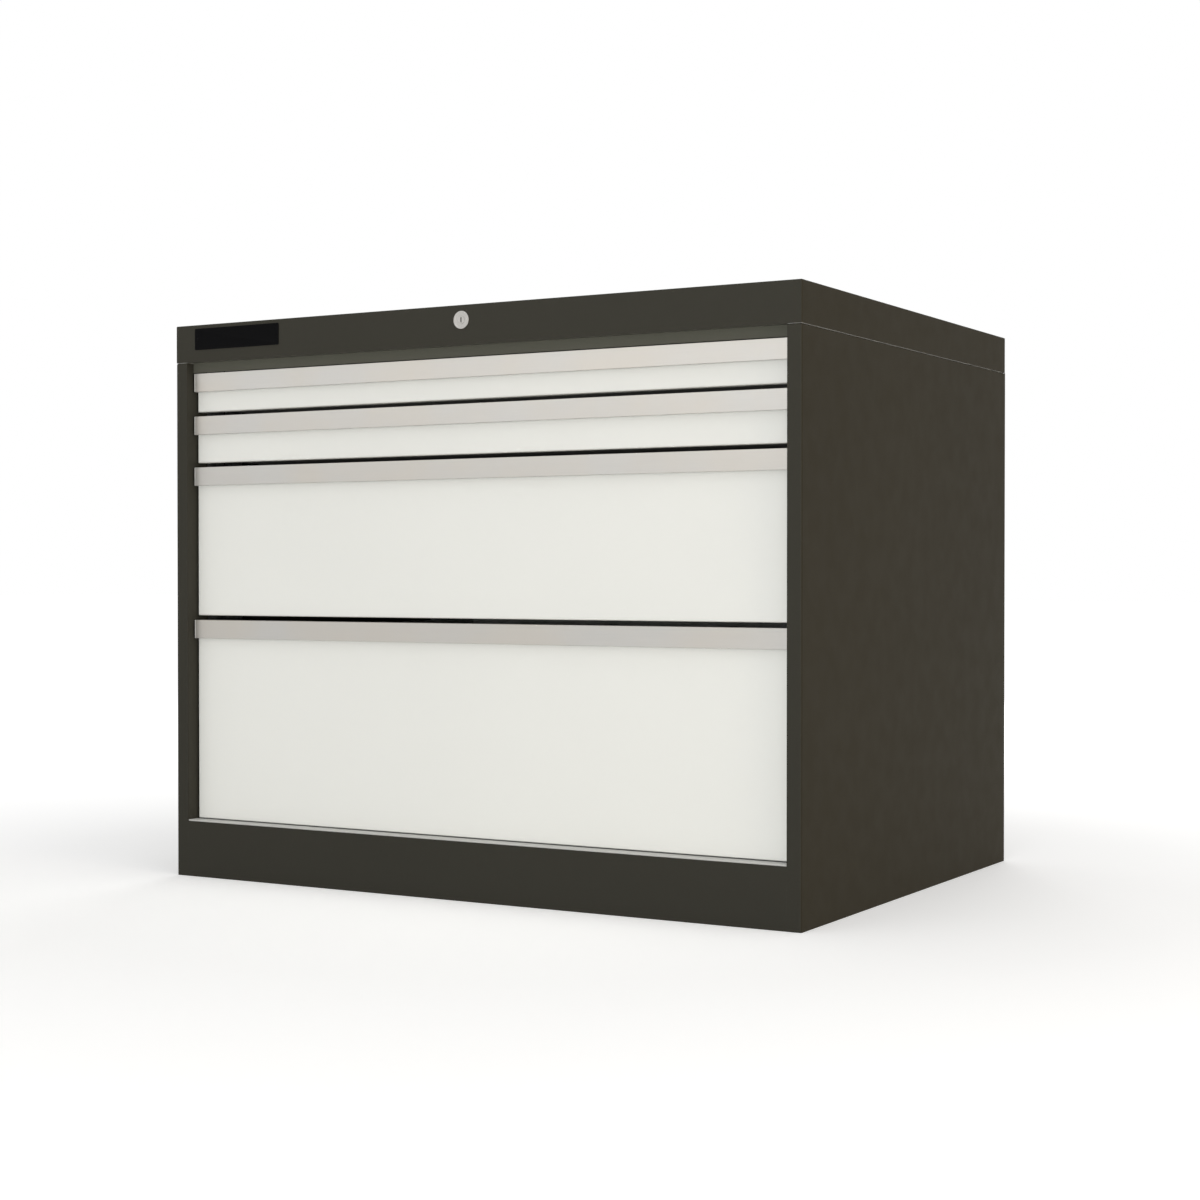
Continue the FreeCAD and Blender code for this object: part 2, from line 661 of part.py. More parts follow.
def carriage(name):
    """Strip between the two rails, with the axles of its rollers."""
    body = new_body(name)
    front, back = "front_axle - strip_end", "rear_axle + strip_end"
    low, high = "runner_axis - strip_height / 2", "runner_axis + strip_height / 2"
    pad(body, "YZ", "strip_inner", "strip_sheet", rectangle(front, back, low, high))
    ends = (value(front), value(back))
    round_edges(body, "strip_round", lambda box: near(box.ZMin, box.ZMax) and near(box.YMin, box.YMax)
                and (near(box.YMin, ends[0]) or near(box.YMin, ends[1])))
    stub(body, "front_axle", "inner")
    stub(body, "middle_axle", "inner")
    stub(body, "middle_axle", "outer")
    stub(body, "rear_axle", "outer")
    return body


def roller(name, axle, side):
    """Ring that turns on an axle stub."""
    body = new_body(name)
    gap = "head_sheet + head_play"
    start = "strip_outer + " + gap
    if side == "inner":
        start = "strip_inner - (%s) - roller_width" % gap
    pad(body, "YZ", start, "roller_width", circles=(
        (axle, "runner_axis", "roller_radius"),
        (axle, "runner_axis", "axle_radius + axle_play")))
    edge = value("roller_radius")
    middle = value("runner_axis")

    def rim(box):
        return near(box.ZMax - middle, edge) and near(box.XMin, box.XMax)

    round_edges(body, "roller_round", rim)
    return body


def tray(number):
    """Open box with divider slots, a folded rim and a welded rail on each side."""
    body = new_body("drawer_%d_tray" % number, "bottom_%d" % number)
    top = "tray_top_%d" % number
    half, front, rear, low = "tray_half", "tray_front", "tray_rear", "tray_bottom_gap"
    inner = "tray_half - tray_sheet"
    pad(body, "XY", low, top + " - " + low, rectangle(minus(half), half, front, rear))
    cut(body, "XY", low + " + tray_sheet", top + " - " + low, rectangle(
        minus(inner), inner, front + " + tray_sheet", rear + " - tray_sheet"))
    rows = "max(1; floor((%s - %s) / wall_slot_row))" % (top, low)
    high = "%s - wall_slot_top - (%s - 1) * wall_slot_row" % (top, rows)
    for plane, letter, middle, length, start, reach in (
            ("YZ", "Y", "(tray_front + tray_rear) / 2", "tray_rear - tray_front",
             minus(half), "2 * tray_half"),
            ("XZ", "X", "0", "2 * tray_half", rear + " - tray_sheet", "tray_sheet")):
        run = "(floor((%s - 2 * wall_slot_end) / wall_slot_pitch) + 1)" % length
        first = "%s - (%s - 1) * wall_slot_pitch / 2" % (middle, run)
        slot = cut(body, plane, start, reach, rectangle(
            first + " - wall_slot_width / 2", first + " + wall_slot_width / 2",
            high + " - wall_slot_height", high))
        repeat(body, slot, (letter, "wall_slot_pitch", run), ("Z", "wall_slot_row", rows))
    rim = "tray_half + tray_rim"
    pad(body, "XY", top + " - tray_sheet", "tray_sheet", (
        (minus(rim), front),
        (minus(half), front),
        (minus(half), rear),
        (half, rear),
        (half, front),
        (rim, front),
        (rim, rear + " + tray_rim"),
        (minus(rim), rear + " + tray_rim")))
    web = "tray_half + rail_sheet"
    tip = "tray_half + rail_sheet + rail_flange"
    channel = (
        (half, "drawer_track_low - rail_sheet"),
        (tip, "drawer_track_low - rail_sheet"),
        (tip, "drawer_track_low"),
        (web, "drawer_track_low"),
        (web, "drawer_track_high"),
        (tip, "drawer_track_high"),
        (tip, "drawer_track_high + rail_sheet"),
        (half, "drawer_track_high + rail_sheet"))
    pad(body, "XZ", "drawer_rail_front", "tray_rear - drawer_rail_front", channel, flipped(channel))
    stop = rectangle(web, tip, "runner_axis - stop_drop", "drawer_track_high")
    for begin in ("drawer_rail_front", "tray_rear - stop_sheet"):
        pad(body, "XZ", begin, "stop_sheet", stop, flipped(stop))
    return body


def front_panel(number):
    """Pan-shaped front; its right flange has the notch that the lock finger enters."""
    body = new_body("drawer_%d_front" % number, "bottom_%d" % number)
    half, low = "front_half", "front_bottom_gap"
    top = "front_top_%d - handle_wall" % number
    pad(body, "XZ", "front_setback", "front_sheet + front_flange", rectangle(minus(half), half, low, top))
    face = value("front_setback")
    round_edges(body, "front_round", lambda box: near(box.YMax, face))
    inner = "front_half - front_sheet"
    cut(body, "XZ", "front_setback + front_sheet", "front_flange", rectangle(
        minus(inner), inner, low + " + front_sheet", top + " - front_sheet"))
    back = "front_setback + front_sheet + front_flange"
    cut(body, "YZ", inner, "front_sheet", (
        ("finger_front - finger_play", "notch_low"),
        ("finger_back + finger_play", "notch_low"),
        ("finger_back + finger_play", "finger_level - finger_play"),
        (back, "finger_level - finger_play"),
        (back, "notch_high"),
        ("finger_front - finger_play", "notch_high")))
    return body


def handle(name):
    """Drawn section that hooks over the top of a drawer front, from its top down."""
    body = new_body(name)
    face, wall = "handle_setback", "handle_wall"
    back = "front_setback + front_sheet + front_flange + handle_play"
    leg = "front_setback - handle_play"
    bead = "handle_setback + handle_wall + handle_lip"
    drop = "-(handle_wall + handle_leg)"
    pad(body, "YZ", "-front_half + cap_sheet", "2 * (front_half - cap_sheet)", (
        (face, "-handle_height"),
        (bead, "-handle_height"),
        (bead, "-handle_height + handle_lip_height"),
        (face + " + handle_wall", "-handle_height + handle_lip_height + handle_lip"),
        (face + " + handle_wall", minus(wall)),
        (leg + " - handle_leg_wall", minus(wall)),
        (leg + " - handle_leg_wall", drop),
        (leg, drop),
        (leg, minus(wall)),
        (back, minus(wall)),
        (back, drop),
        (back + " + handle_leg_wall", drop),
        (back + " + handle_leg_wall", "0"),
        (face, "0")))
    front = value(face)
    bottom = value("-handle_height")
    end = value(bead)

    def long_edge(box):
        run = box.XLength > 1 and near(box.ZMin, box.ZMax)
        lower = near(box.YMin, end) and near(box.ZMin, bottom)
        return run and (near(box.YMax, front) or lower)

    round_edges(body, "handle_round", long_edge)
    return body


def end_cap(name):
    """Cap that closes the end of the handle."""
    body = new_body(name)
    pad(body, "YZ", "front_half - cap_sheet", "cap_sheet", rectangle(
        "handle_setback", "front_setback - handle_play", "-handle_height", "0"))
    face = value("handle_setback")
    round_edges(body, "handle_round", lambda box: near(box.YMax, face) and box.XLength > 1)
    return body


def name_plate():
    """Blank plate on the fascia."""
    body = new_body("name_plate", "cover_bottom + plate_bottom")
    left = "-half_width + plate_left"
    pad(body, "XZ", "-plate_sheet", "plate_sheet", rectangle(
        left, left + " + plate_width", "0", "plate_height"))
    round_edges(body, "plate_round", lambda box: near(box.XMin, box.XMax) and near(box.ZMin, box.ZMax))
    return body


def lock_housing():
    """Face disc and threaded body of the lock."""
    body = new_body("lock_housing", "lock_axis")
    pad(body, "XZ", "-lock_face_sheet", "lock_face_sheet", circles=(("0", "0", "lock_face_radius"),))
    pad(body, "XZ", "0", "lock_body_length", circles=(("0", "0", "lock_body_radius"),))
    cut(body, "XZ", "-lock_face_sheet", "lock_body_length + lock_face_sheet", circles=(
        ("0", "0", "plug_radius + plug_play"),))
    face = value("lock_face_radius")
    front = value("-lock_face_sheet")
    round_edges(body, "lock_face_round", lambda box: near(box.XMax, face) and near(box.YMax, front))
    return body


def lock_nut():
    """Hexagon nut that clamps the lock behind the fascia."""
    body = new_body("lock_nut", "lock_axis")
    corners = tuple(("lock_nut_radius * cos(%d deg)" % turn, "lock_nut_radius * sin(%d deg)" % turn)
                    for turn in range(0, 360, 60))
    pad(body, "XZ", "cover_sheet", "lock_nut_sheet", corners, circles=(
        ("0", "0", "lock_body_radius + lock_hole_play"),))
    return body


def lock_plug():
    """Plug with its key slot."""
    body = new_body("lock_plug", "lock_axis")
    start = "-lock_face_sheet + plug_play"
    pad(body, "XZ", start, "plug_back - (%s)" % start, circles=(("0", "0", "plug_radius"),))
    cut(body, "XZ", start, "key_slot_depth", rectangle(
        "-key_slot_width / 2", "key_slot_width / 2", "-key_slot_height / 2", "key_slot_height / 2"))
    cut(body, "XZ", "plug_back - cam_screw_length", "cam_screw_length", circles=(
        ("0", "0", "screw_radius + plug_play"),))
    return body


def lock_cam():
    """Cam with the pin that drives the link; unlocked, its arm points down to the right."""
    body = new_body("lock_cam", "lock_axis")
    wide = "cam_width * sqrt(0.5) / 2"
    tip = "(cam_reach + cam_width / 2) * sqrt(0.5)"
    heel = "-cam_width / 2 * sqrt(0.5)"
    pad(body, "XZ", "plug_back", "cam_sheet", (
        (heel + " - " + wide, "-(%s) - %s" % (heel, wide)),
        (tip + " - " + wide, "-(%s) - %s" % (tip, wide)),
        (tip + " + " + wide, "-(%s) + %s" % (tip, wide)),
        (heel + " + " + wide, "-(%s) + %s" % (heel, wide))))
    round_edges(body, "cam_round", lambda box: near(box.XMin, box.XMax) and near(box.ZMin, box.ZMax))
    cut(body, "XZ", "plug_back", "cam_sheet", circles=(("0", "0", "screw_radius + plug_play"),))
    pad(body, "XZ", "cam_back", "link_gap + link_sheet + cam_pin_radius", circles=(
        ("cam_offset", "-cam_offset", "cam_pin_radius"),))
    return body


def cam_screw():
    """Low-headed screw that holds the cam on the plug."""
    body = new_body("lock_cam_screw", "lock_axis")
    pad(body, "XZ", "plug_back - cam_screw_length", "cam_screw_length + cam_sheet", circles=(
        ("0", "0", "screw_radius"),))
    pad(body, "XZ", "cam_back", "cam_screw_height", circles=(("0", "0", "cam_screw_radius"),))
    cut(body, "XZ", "cam_back + cam_screw_height / 2", "cam_screw_height / 2", rectangle(
        "-cam_screw_radius", "cam_screw_radius", "-cam_screw_slot / 2", "cam_screw_slot / 2"))
    return body


def lock_link():
    """Strip from the cam to the lock bar, with a sloping slot at the bar."""
    body = new_body("lock_link")
    left = "cam_offset - link_end - link_travel / 3"
    right = "bar_pin_x + link_travel + link_end"
    low = "bar_pin_z - bar_throw - link_edge"
    shoulder = "bar_pin_x - link_shoulder"
    pad(body, "XZ", "link_front", "link_sheet", (
        (left, "link_bottom"),
        (shoulder, "link_bottom"),
        (shoulder + " + link_slope", low),
        (right, low),
        (right, "link_top"),
        (left, "link_top")))
    half = "cam_pin_radius + link_play"
    cut(body, "XZ", "link_front", "link_sheet", rectangle(
        "cam_offset - (%s)" % half, "cam_offset + " + half,
        "lock_axis - cam_reach - (%s)" % half, "lock_axis - cam_offset + " + half))
    reach = "(bar_pin_radius + bar_play)"
    length = "sqrt(link_travel ^ 2 + bar_throw ^ 2)"
    along, down = "%s * link_travel / %s" % (reach, length), "%s * bar_throw / %s" % (reach, length)
    start_x, start_z = "bar_pin_x - %s" % along, "bar_pin_z + %s" % down
    end_x, end_z = "bar_pin_x + link_travel + %s" % along, "bar_pin_z - bar_throw - %s" % down
    cut(body, "XZ", "link_front", "link_sheet", (
        ("%s - %s" % (start_x, down), "%s - %s" % (start_z, along)),
        ("%s - %s" % (end_x, down), "%s - %s" % (end_z, along)),
        ("%s + %s" % (end_x, down), "%s + %s" % (end_z, along)),
        ("%s + %s" % (start_x, down), "%s + %s" % (start_z, along))))
    return body


def lock_bar():
    """Bar in the right post; its fingers reach through the post's windows."""
    body = new_body("lock_bar")
    outer = "bar_inner + bar_sheet"
    low = "bottom_4 + notch_low"
    top = "bar_pin_z + finger_height"
    pad(body, "XY", low, top + " - (%s)" % low, rectangle(
        "bar_inner", outer, "finger_back - bar_depth", "finger_back"))
    for number in range(1, 5):
        level = "bottom_%d + finger_level" % number
        pad(body, "XZ", "finger_front", "finger_sheet", rectangle(
            "opening_half - finger_reach", "bar_inner", level, level + " + finger_height"))
    pad(body, "XZ", "finger_front", "finger_sheet", rectangle(
        "bar_pin_x - 2 * bar_pin_radius", "bar_inner", "bar_pin_z - finger_height", top))
    pad(body, "XZ", "finger_back", "link_back - finger_back + 1.5 * bar_pin_radius", circles=(
        ("bar_pin_x", "bar_pin_z", "bar_pin_radius"),))
    return body


def back_panel_screws():
    """Countersunk screws that hold the back panel on the rear flanges."""
    body = new_body("back_panel_screws")
    for side in ("", "-"):
        across = side + "(half_width - screw_inset)"
        screw = body.newObject("PartDesign::Revolution", "screw")
        screw.Profile = screw_profile(body, across, "0")
        screw.ReferenceAxis = (screw.Profile[0], ["V_Axis"])
        repeat(body, screw, ("Z", "screw_pitch", "screw_count"))
    return body


def build_case():
    """Everything that stands still."""
    plain = side_panel("plain_side_panel", False)
    nodes.append(side_panel("right_side_panel", True))
    nodes.append(mirror(plain, "left_side_panel"))
    nodes.extend((back_panel(), back_panel_screws(), top_cover(), top_deck(), base_frame(), floor_deck()))
    right = upright("right_front_upright")
    left = mirror(right, "left_front_upright")
    depth = "rear_upright_front - front_upright_front"
    nodes.extend((right, left))
    nodes.append(placed("right_rear_upright", [right], depth))
    nodes.append(placed("left_rear_upright", [left], depth))
    nodes.extend((name_plate(), lock_housing(), lock_nut()))


def build_drawers():
    """Four drawers with their rails, carriages and rollers, top drawer first."""
    rail = cabinet_rail("cabinet_rail")
    strip = carriage("carriage")
    rings = {}
    for axle, sides in (("front", ("inner",)), ("middle", ("inner", "outer")), ("rear", ("outer",))):
        right = [roller(axle + "_" + side + "_roller", axle + "_axle", side) for side in sides]
        rings[axle] = right + [mirror(ring, "left_" + ring.Name) for ring in right]
    grip = handle("handle")
    cap = end_cap("handle_cap")
    rails = [rail, mirror(rail, "left_cabinet_rail")]
    caps = [cap, mirror(cap, "left_handle_cap")]
    strips = (("right", strip), ("left", mirror(strip, "mirrored_carriage")))
    for number in range(1, 5):
        drawer = "drawer_%d_" % number
        level = "bottom_%d" % number
        top = level + " + front_top_%d" % number
        nodes.append(placed(drawer + "fixed_rails", rails, z=level))
        for side, piece in strips:
            nodes.append(placed(drawer + side + "_carriage", [piece], z=level))
        for axle, pieces in rings.items():
            nodes.append(placed(drawer + axle + "_rollers", pieces, z=level))
        nodes.append(tray(number))
        nodes.append(front_panel(number))
        nodes.append(placed(drawer + "handle", [grip], z=top))
        nodes.append(placed(drawer + "handle_caps", caps, z=top))


def build_lock():
    """Moving parts of the central locking."""
    nodes.extend((lock_plug(), lock_cam(), cam_screw(), lock_link(), lock_bar()))


build_case()
build_drawers()
build_lock()
doc.removeObject(reading.Name)
doc.recompute()

for item in doc.Objects:
    if "Invalid" in item.State or "Error" in item.State:
        raise RuntimeError("%s failed: %s" % (item.Label, item.State))

os.makedirs("parts", exist_ok=True)
for item in nodes:
    if item.Shape.isNull() or not item.Shape.isValid() or not item.Shape.Solids:
        raise RuntimeError("%s has no sound solid" % item.Label)
    item.Shape.exportStep(os.path.join("parts", item.Label + ".step"))
print(len(nodes), "nodes written")
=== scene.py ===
import json
import math
import bpy
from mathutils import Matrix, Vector


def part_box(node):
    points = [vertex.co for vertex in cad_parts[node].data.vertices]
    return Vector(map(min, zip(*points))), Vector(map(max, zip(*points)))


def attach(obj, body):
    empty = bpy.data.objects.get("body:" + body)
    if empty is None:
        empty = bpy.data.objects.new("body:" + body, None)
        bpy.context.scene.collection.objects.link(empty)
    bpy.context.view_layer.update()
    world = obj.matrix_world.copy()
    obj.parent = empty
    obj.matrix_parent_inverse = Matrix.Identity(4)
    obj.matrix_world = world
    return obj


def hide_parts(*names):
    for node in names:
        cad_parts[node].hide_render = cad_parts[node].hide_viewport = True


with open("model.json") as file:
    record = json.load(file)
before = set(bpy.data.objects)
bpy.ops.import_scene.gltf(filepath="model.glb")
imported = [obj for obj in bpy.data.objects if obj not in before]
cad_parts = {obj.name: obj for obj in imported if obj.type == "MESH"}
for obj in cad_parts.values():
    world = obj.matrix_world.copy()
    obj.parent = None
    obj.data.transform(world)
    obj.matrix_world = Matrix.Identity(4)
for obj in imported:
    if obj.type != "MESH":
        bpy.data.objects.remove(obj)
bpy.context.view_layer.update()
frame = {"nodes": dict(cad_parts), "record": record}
scene = bpy.context.scene
mm = 0.001
tolerance = 0.1 * mm  # how near a point counts as lying on a plane or rim
print("stage: frame loaded,", len(frame["nodes"]), "CAD nodes")

# outer sizes, and the drawers' heights from the top down
cabinet = {
    "width": 1010 * mm, "depth": 755 * mm, "drawersTop": 755.5 * mm,
    "drawerHeights": (75 * mm, 75 * mm, 225 * mm, 300 * mm),
}
caseFront = -cabinet["depth"] / 2
caseSide = cabinet["width"] / 2
drawers = range(1, len(cabinet["drawerHeights"]) + 1)


# small tools for shader trees

def newMaterial(name):
    material = bpy.data.materials.new(name)
    material.use_nodes = True
    tree = material.node_tree
    return material, tree, tree.nodes["Principled BSDF"]


def addNode(tree, kind, **values):
    # each value goes to the node's own setting of that name, or else to its input
    node = tree.nodes.new(kind)
    for key, value in values.items():
        if hasattr(node, key):
            setattr(node, key, value)
        else:
            node.inputs[key.replace("_", " ")].default_value = value
    return node


def objectPlace(tree, stretch=(1, 1, 1)):
    # place on the piece in metres, stretched for grain that runs one way
    coordinates = addNode(tree, "ShaderNodeTexCoord")
    mapping = addNode(tree, "ShaderNodeMapping")
    mapping.inputs["Scale"].default_value = stretch
    tree.links.new(coordinates.outputs["Object"], mapping.inputs["Vector"])
    return mapping.outputs["Vector"]


def axisValue(tree, place, axis):
    spot = addNode(tree, "ShaderNodeSeparateXYZ")
    tree.links.new(place, spot.inputs["Vector"])
    return spot.outputs[axis]


def noise(tree, place, scale, detail):
    node = addNode(tree, "ShaderNodeTexNoise", Scale=scale, Detail=detail)
    tree.links.new(place, node.inputs["Vector"])
    return node.outputs["Fac"]


def spread(tree, source, low, high, start=0.35, end=0.65):
    # source from start to end mapped to low to high; the defaults suit noise
    node = addNode(tree, "ShaderNodeMapRange")
    tree.links.new(source, node.inputs["Value"])
    node.inputs["From Min"].default_value = start
    node.inputs["From Max"].default_value = end
    node.inputs["To Min"].default_value = low
    node.inputs["To Max"].default_value = high
    return node.outputs["Result"]


def product(tree, first, second):
    # second is a number or a socket
    node = addNode(tree, "ShaderNodeMath", operation="MULTIPLY")
    tree.links.new(first, node.inputs[0])
    if isinstance(second, bpy.types.NodeSocket):
        tree.links.new(second, node.inputs[1])
    else:
        node.inputs[1].default_value = second
    return node.outputs["Value"]


def shaded(colour, factor):
    return tuple(min(1.0, part * factor) for part in colour)


def blendColours(tree, factor, first, second):
    # first and second are colours or sockets
    node = addNode(tree, "ShaderNodeMix", data_type="RGBA")
    tree.links.new(factor, node.inputs["Factor"])
    for name, colour in (("A", first), ("B", second)):
        sockets = [item for item in node.inputs if item.name == name and item.type == "RGBA"]
        if isinstance(colour, bpy.types.NodeSocket):
            tree.links.new(colour, sockets[0])
        else:
            sockets[0].default_value = (*colour, 1)
    return [item for item in node.outputs if item.type == "RGBA"][0]


def twoShades(tree, factor, colour, shades):
    dark, light = shades
    return blendColours(tree, factor, shaded(colour, dark), shaded(colour, light))


def edgeMask(tree, radius, gain):
    # 1 along bends and cut edges, 0 on the flats
    soft = addNode(tree, "ShaderNodeBevel", samples=4, Radius=radius)
    sharp = addNode(tree, "ShaderNodeNewGeometry")
    dot = addNode(tree, "ShaderNodeVectorMath", operation="DOT_PRODUCT")
    tree.links.new(soft.outputs["Normal"], dot.inputs[0])
    tree.links.new(sharp.outputs["Normal"], dot.inputs[1])
    return spread(tree, dot.outputs["Value"], 0, 1, start=1.0, end=1.0 - 1.0 / gain)


def connect(tree, shader, settings, body, rough, height):
    # colour, roughness and grain into the shader
    tree.links.new(body, shader.inputs["Base Color"])
    tree.links.new(rough, shader.inputs["Roughness"])
    shader.inputs["Metallic"].default_value = settings.get("metal", 0)
    shader.inputs["Specular IOR Level"].default_value = settings.get("gloss", 0.5)
    bump = addNode(tree, "ShaderNodeBump", Strength=settings["grain"], Distance=settings["grainDepth"])
    tree.links.new(height, bump.inputs["Height"])
    tree.links.new(bump.outputs["Normal"], shader.inputs["Normal"])


# powder coats: faint clouds, specks, fine grain and a little wear on the edges

powder = {
    "cloudScale": 2.0, "wearScale": 45, "roughScale": 30, "edgeGain": 2.5, "grainDepth": 0.25 * mm,
}
darkCoat = dict(
    powder, shades=(0.975, 1.025), grainScale=1500, grain=0.12, speckScale=1050, speck=0.12,
    speckShade=1.4, edgeRadius=1.2 * mm, wear=0.2, rough=(0.58, 0.63), gloss=0.06)
# olive coat, with painted shade: darker, warmer outer sides and front faces darker toward the floor
oliveCoat = dict(darkCoat, colour=(0.0395, 0.0378, 0.0302), wornColour=(0.12, 0.115, 0.10), paintedFaceShade={
    "sideShadeColour": (0.029, 0.0247, 0.015), "sideFrom": 1.7 * mm, "sideFull": 0.2 * mm,
    "floorShadeShare": 0.18, "floorShadeTone": 0.1, "floorShadeTop": 0.8, "frontFull": 1 * mm, "frontEnd": 3 * mm,
})
# deck under the cover: a grey lighter than the olive, painted light on its underside seen below the fascia
litDeckCoat = dict(darkCoat, colour=(0.092, 0.092, 0.074), wornColour=(0.16, 0.16, 0.14))
frontCoat = dict(
    powder, colour=(0.76, 0.766, 0.731), wornColour=(0.55, 0.55, 0.53), shades=(0.99, 1.01),
    grainScale=1100, grain=0.06, speckScale=770, speck=0.06, speckShade=0.93, edgeRadius=1.0 * mm,
    wear=0.12, rough=(0.40, 0.45), gloss=0.35)
greyCoat = dict(frontCoat, colour=(0.52, 0.52, 0.50), shades=(0.97, 1.03), wornColour=(0.38, 0.38, 0.37))


def powderCoat(name, settings):
    material, tree, shader = newMaterial(name)
    place = objectPlace(tree)
    colour = settings["colour"]
    clouds = spread(tree, noise(tree, place, settings["cloudScale"], detail=4), 0, 1)
    body = twoShades(tree, clouds, colour, settings["shades"])
    if "paintedFaceShade" in settings:
        body = paintSideAndFloorShade(tree, place, clouds, body, settings)
    specks = noise(tree, place, settings["speckScale"], detail=1)
    specks = spread(tree, specks, 0, settings["speck"], start=0.5, end=0.8)
    body = blendColours(tree, specks, body, shaded(colour, settings["speckShade"]))
    edges = edgeMask(tree, settings["edgeRadius"], settings["edgeGain"])
    rubs = noise(tree, place, settings["wearScale"], detail=5)
    rubs = spread(tree, rubs, 0, settings["wear"], start=0.4, end=0.7)
    body = blendColours(tree, product(tree, edges, rubs), body, settings["wornColour"])
    rough = spread(tree, noise(tree, place, settings["roughScale"], detail=5), *settings["rough"])
    connect(tree, shader, settings, body, rough, noise(tree, place, settings["grainScale"], detail=2))
    return material


def paintSideAndFloorShade(tree, place, clouds, body, settings):
    # painted shade: the outer sides painted darker and warmer, and the front faces painted darker toward
    # the floor
    paintedFaceShade = settings["paintedFaceShade"]
    across = addNode(tree, "ShaderNodeMath", operation="ABSOLUTE")
    tree.links.new(axisValue(tree, place, "X"), across.inputs[0])
    outer = spread(tree, across.outputs["Value"], 0, 1,
                   start=caseSide - paintedFaceShade["sideFrom"], end=caseSide - paintedFaceShade["sideFull"])
    side = twoShades(tree, clouds, paintedFaceShade["sideShadeColour"], settings["shades"])
    body = blendColours(tree, outer, body, side)
    # painted shade toward the floor, on the front faces only
    near = spread(tree, axisValue(tree, place, "Y"), 1, 0,
                  start=caseFront + paintedFaceShade["frontFull"], end=caseFront + paintedFaceShade["frontEnd"])
    low = spread(tree, axisValue(tree, place, "Z"), paintedFaceShade["floorShadeShare"], 0, start=0, end=paintedFaceShade["floorShadeTop"])
    dark = shaded(settings["colour"], paintedFaceShade["floorShadeTone"])
    return blendColours(tree, product(tree, low, near), body, dark)


# handles: satin aluminium, drawn along its length, with painted shade that darkens the handles of the
# lower drawers

handleMetal = {
    "colour": (0.556, 0.546, 0.522), "shades": (0.95, 1.03), "tint": (0.572, 0.535, 0.478),
    "tintShare": 0.6, "tintScale": 9, "lineScale": 16, "lineStretch": (1, 140, 140),
    "paintedShadeShare": 0.19, "paintedShadeTone": 0.1, "paintedShadeFull": 0.5, "paintedShadeEnd": 0.74,
    "rough": (0.37, 0.49), "metal": 0.8, "grain": 0.1, "grainDepth": 0.08 * mm,
}


def drawnAluminium(name, settings):
    material, tree, shader = newMaterial(name)
    along = objectPlace(tree, settings["lineStretch"])
    place = objectPlace(tree)
    lines = noise(tree, along, settings["lineScale"], detail=6)
    tone = spread(tree, lines, 0, 1, start=0.3, end=0.7)
    body = twoShades(tree, tone, settings["colour"], settings["shades"])
    clouds = spread(tree, noise(tree, place, settings["tintScale"], detail=3), 0, settings["tintShare"])
    body = blendColours(tree, clouds, body, settings["tint"])
    # painted shade: darker below 0.74 m, at full share from 0.5 m down
    low = spread(tree, axisValue(tree, place, "Z"), settings["paintedShadeShare"], 0,
                 start=settings["paintedShadeFull"], end=settings["paintedShadeEnd"])
    body = blendColours(tree, low, body, shaded(settings["colour"], settings["paintedShadeTone"]))
    rough = spread(tree, lines, *settings["rough"], start=0.3, end=0.7)
    connect(tree, shader, settings, body, rough, lines)
    return material


# zinc plate: spangle and faint stains

zincMetal = {
    "colour": (0.56, 0.57, 0.58), "shades": (0.9, 1.08), "spangle": 190, "stain": (0.50, 0.50, 0.46),
    "stainShare": 0.5, "stainScale": 16, "rough": (0.28, 0.46), "roughScale": 70, "metal": 1.0,
    "grain": 0.1, "grainScale": 420, "grainDepth": 0.1 * mm,
}


def zincPlate(name, settings):
    material, tree, shader = newMaterial(name)
    place = objectPlace(tree)
    cells = addNode(tree, "ShaderNodeTexVoronoi", Scale=settings["spangle"])
    tree.links.new(place, cells.inputs["Vector"])
    shade = addNode(tree, "ShaderNodeSeparateColor")
    tree.links.new(cells.outputs["Color"], shade.inputs["Color"])
    body = twoShades(tree, shade.outputs["Red"], settings["colour"], settings["shades"])
    stains = noise(tree, place, settings["stainScale"], detail=6)
    stains = spread(tree, stains, 0, settings["stainShare"], start=0.5, end=0.75)
    body = blendColours(tree, stains, body, settings["stain"])
    rough = spread(tree, noise(tree, place, settings["roughScale"], detail=4), *settings["rough"])
    connect(tree, shader, settings, body, rough, noise(tree, place, settings["grainScale"], detail=3))
    return material


# nickel of the lock: satin, with rims painted brighter as a painted highlight

nickelMetal = {
    "colour": (0.43, 0.42, 0.40), "shades": (0.94, 1), "rim": (0.54, 0.53, 0.50), "edgeRadius": 0.6 * mm,
    "edgeGain": 3, "rough": (0.35, 0.45), "roughScale": 300, "metal": 0.8,
    "grain": 0.06, "grainScale": 2600, "grainDepth": 0.05 * mm,
}


def satinNickel(name, settings):
    material, tree, shader = newMaterial(name)
    place = objectPlace(tree)
    fine = noise(tree, place, settings["grainScale"], detail=2)
    body = twoShades(tree, spread(tree, fine, 0, 1), settings["colour"], settings["shades"])
    edges = edgeMask(tree, settings["edgeRadius"], settings["edgeGain"])
    # painted highlight: the rims take the brighter rim colour
    body = blendColours(tree, edges, body, settings["rim"])
    rough = spread(tree, noise(tree, place, settings["roughScale"], detail=3), *settings["rough"])
    connect(tree, shader, settings, body, rough, fine)
    return material


# moulded plastics of the end caps, the rollers and the name plate

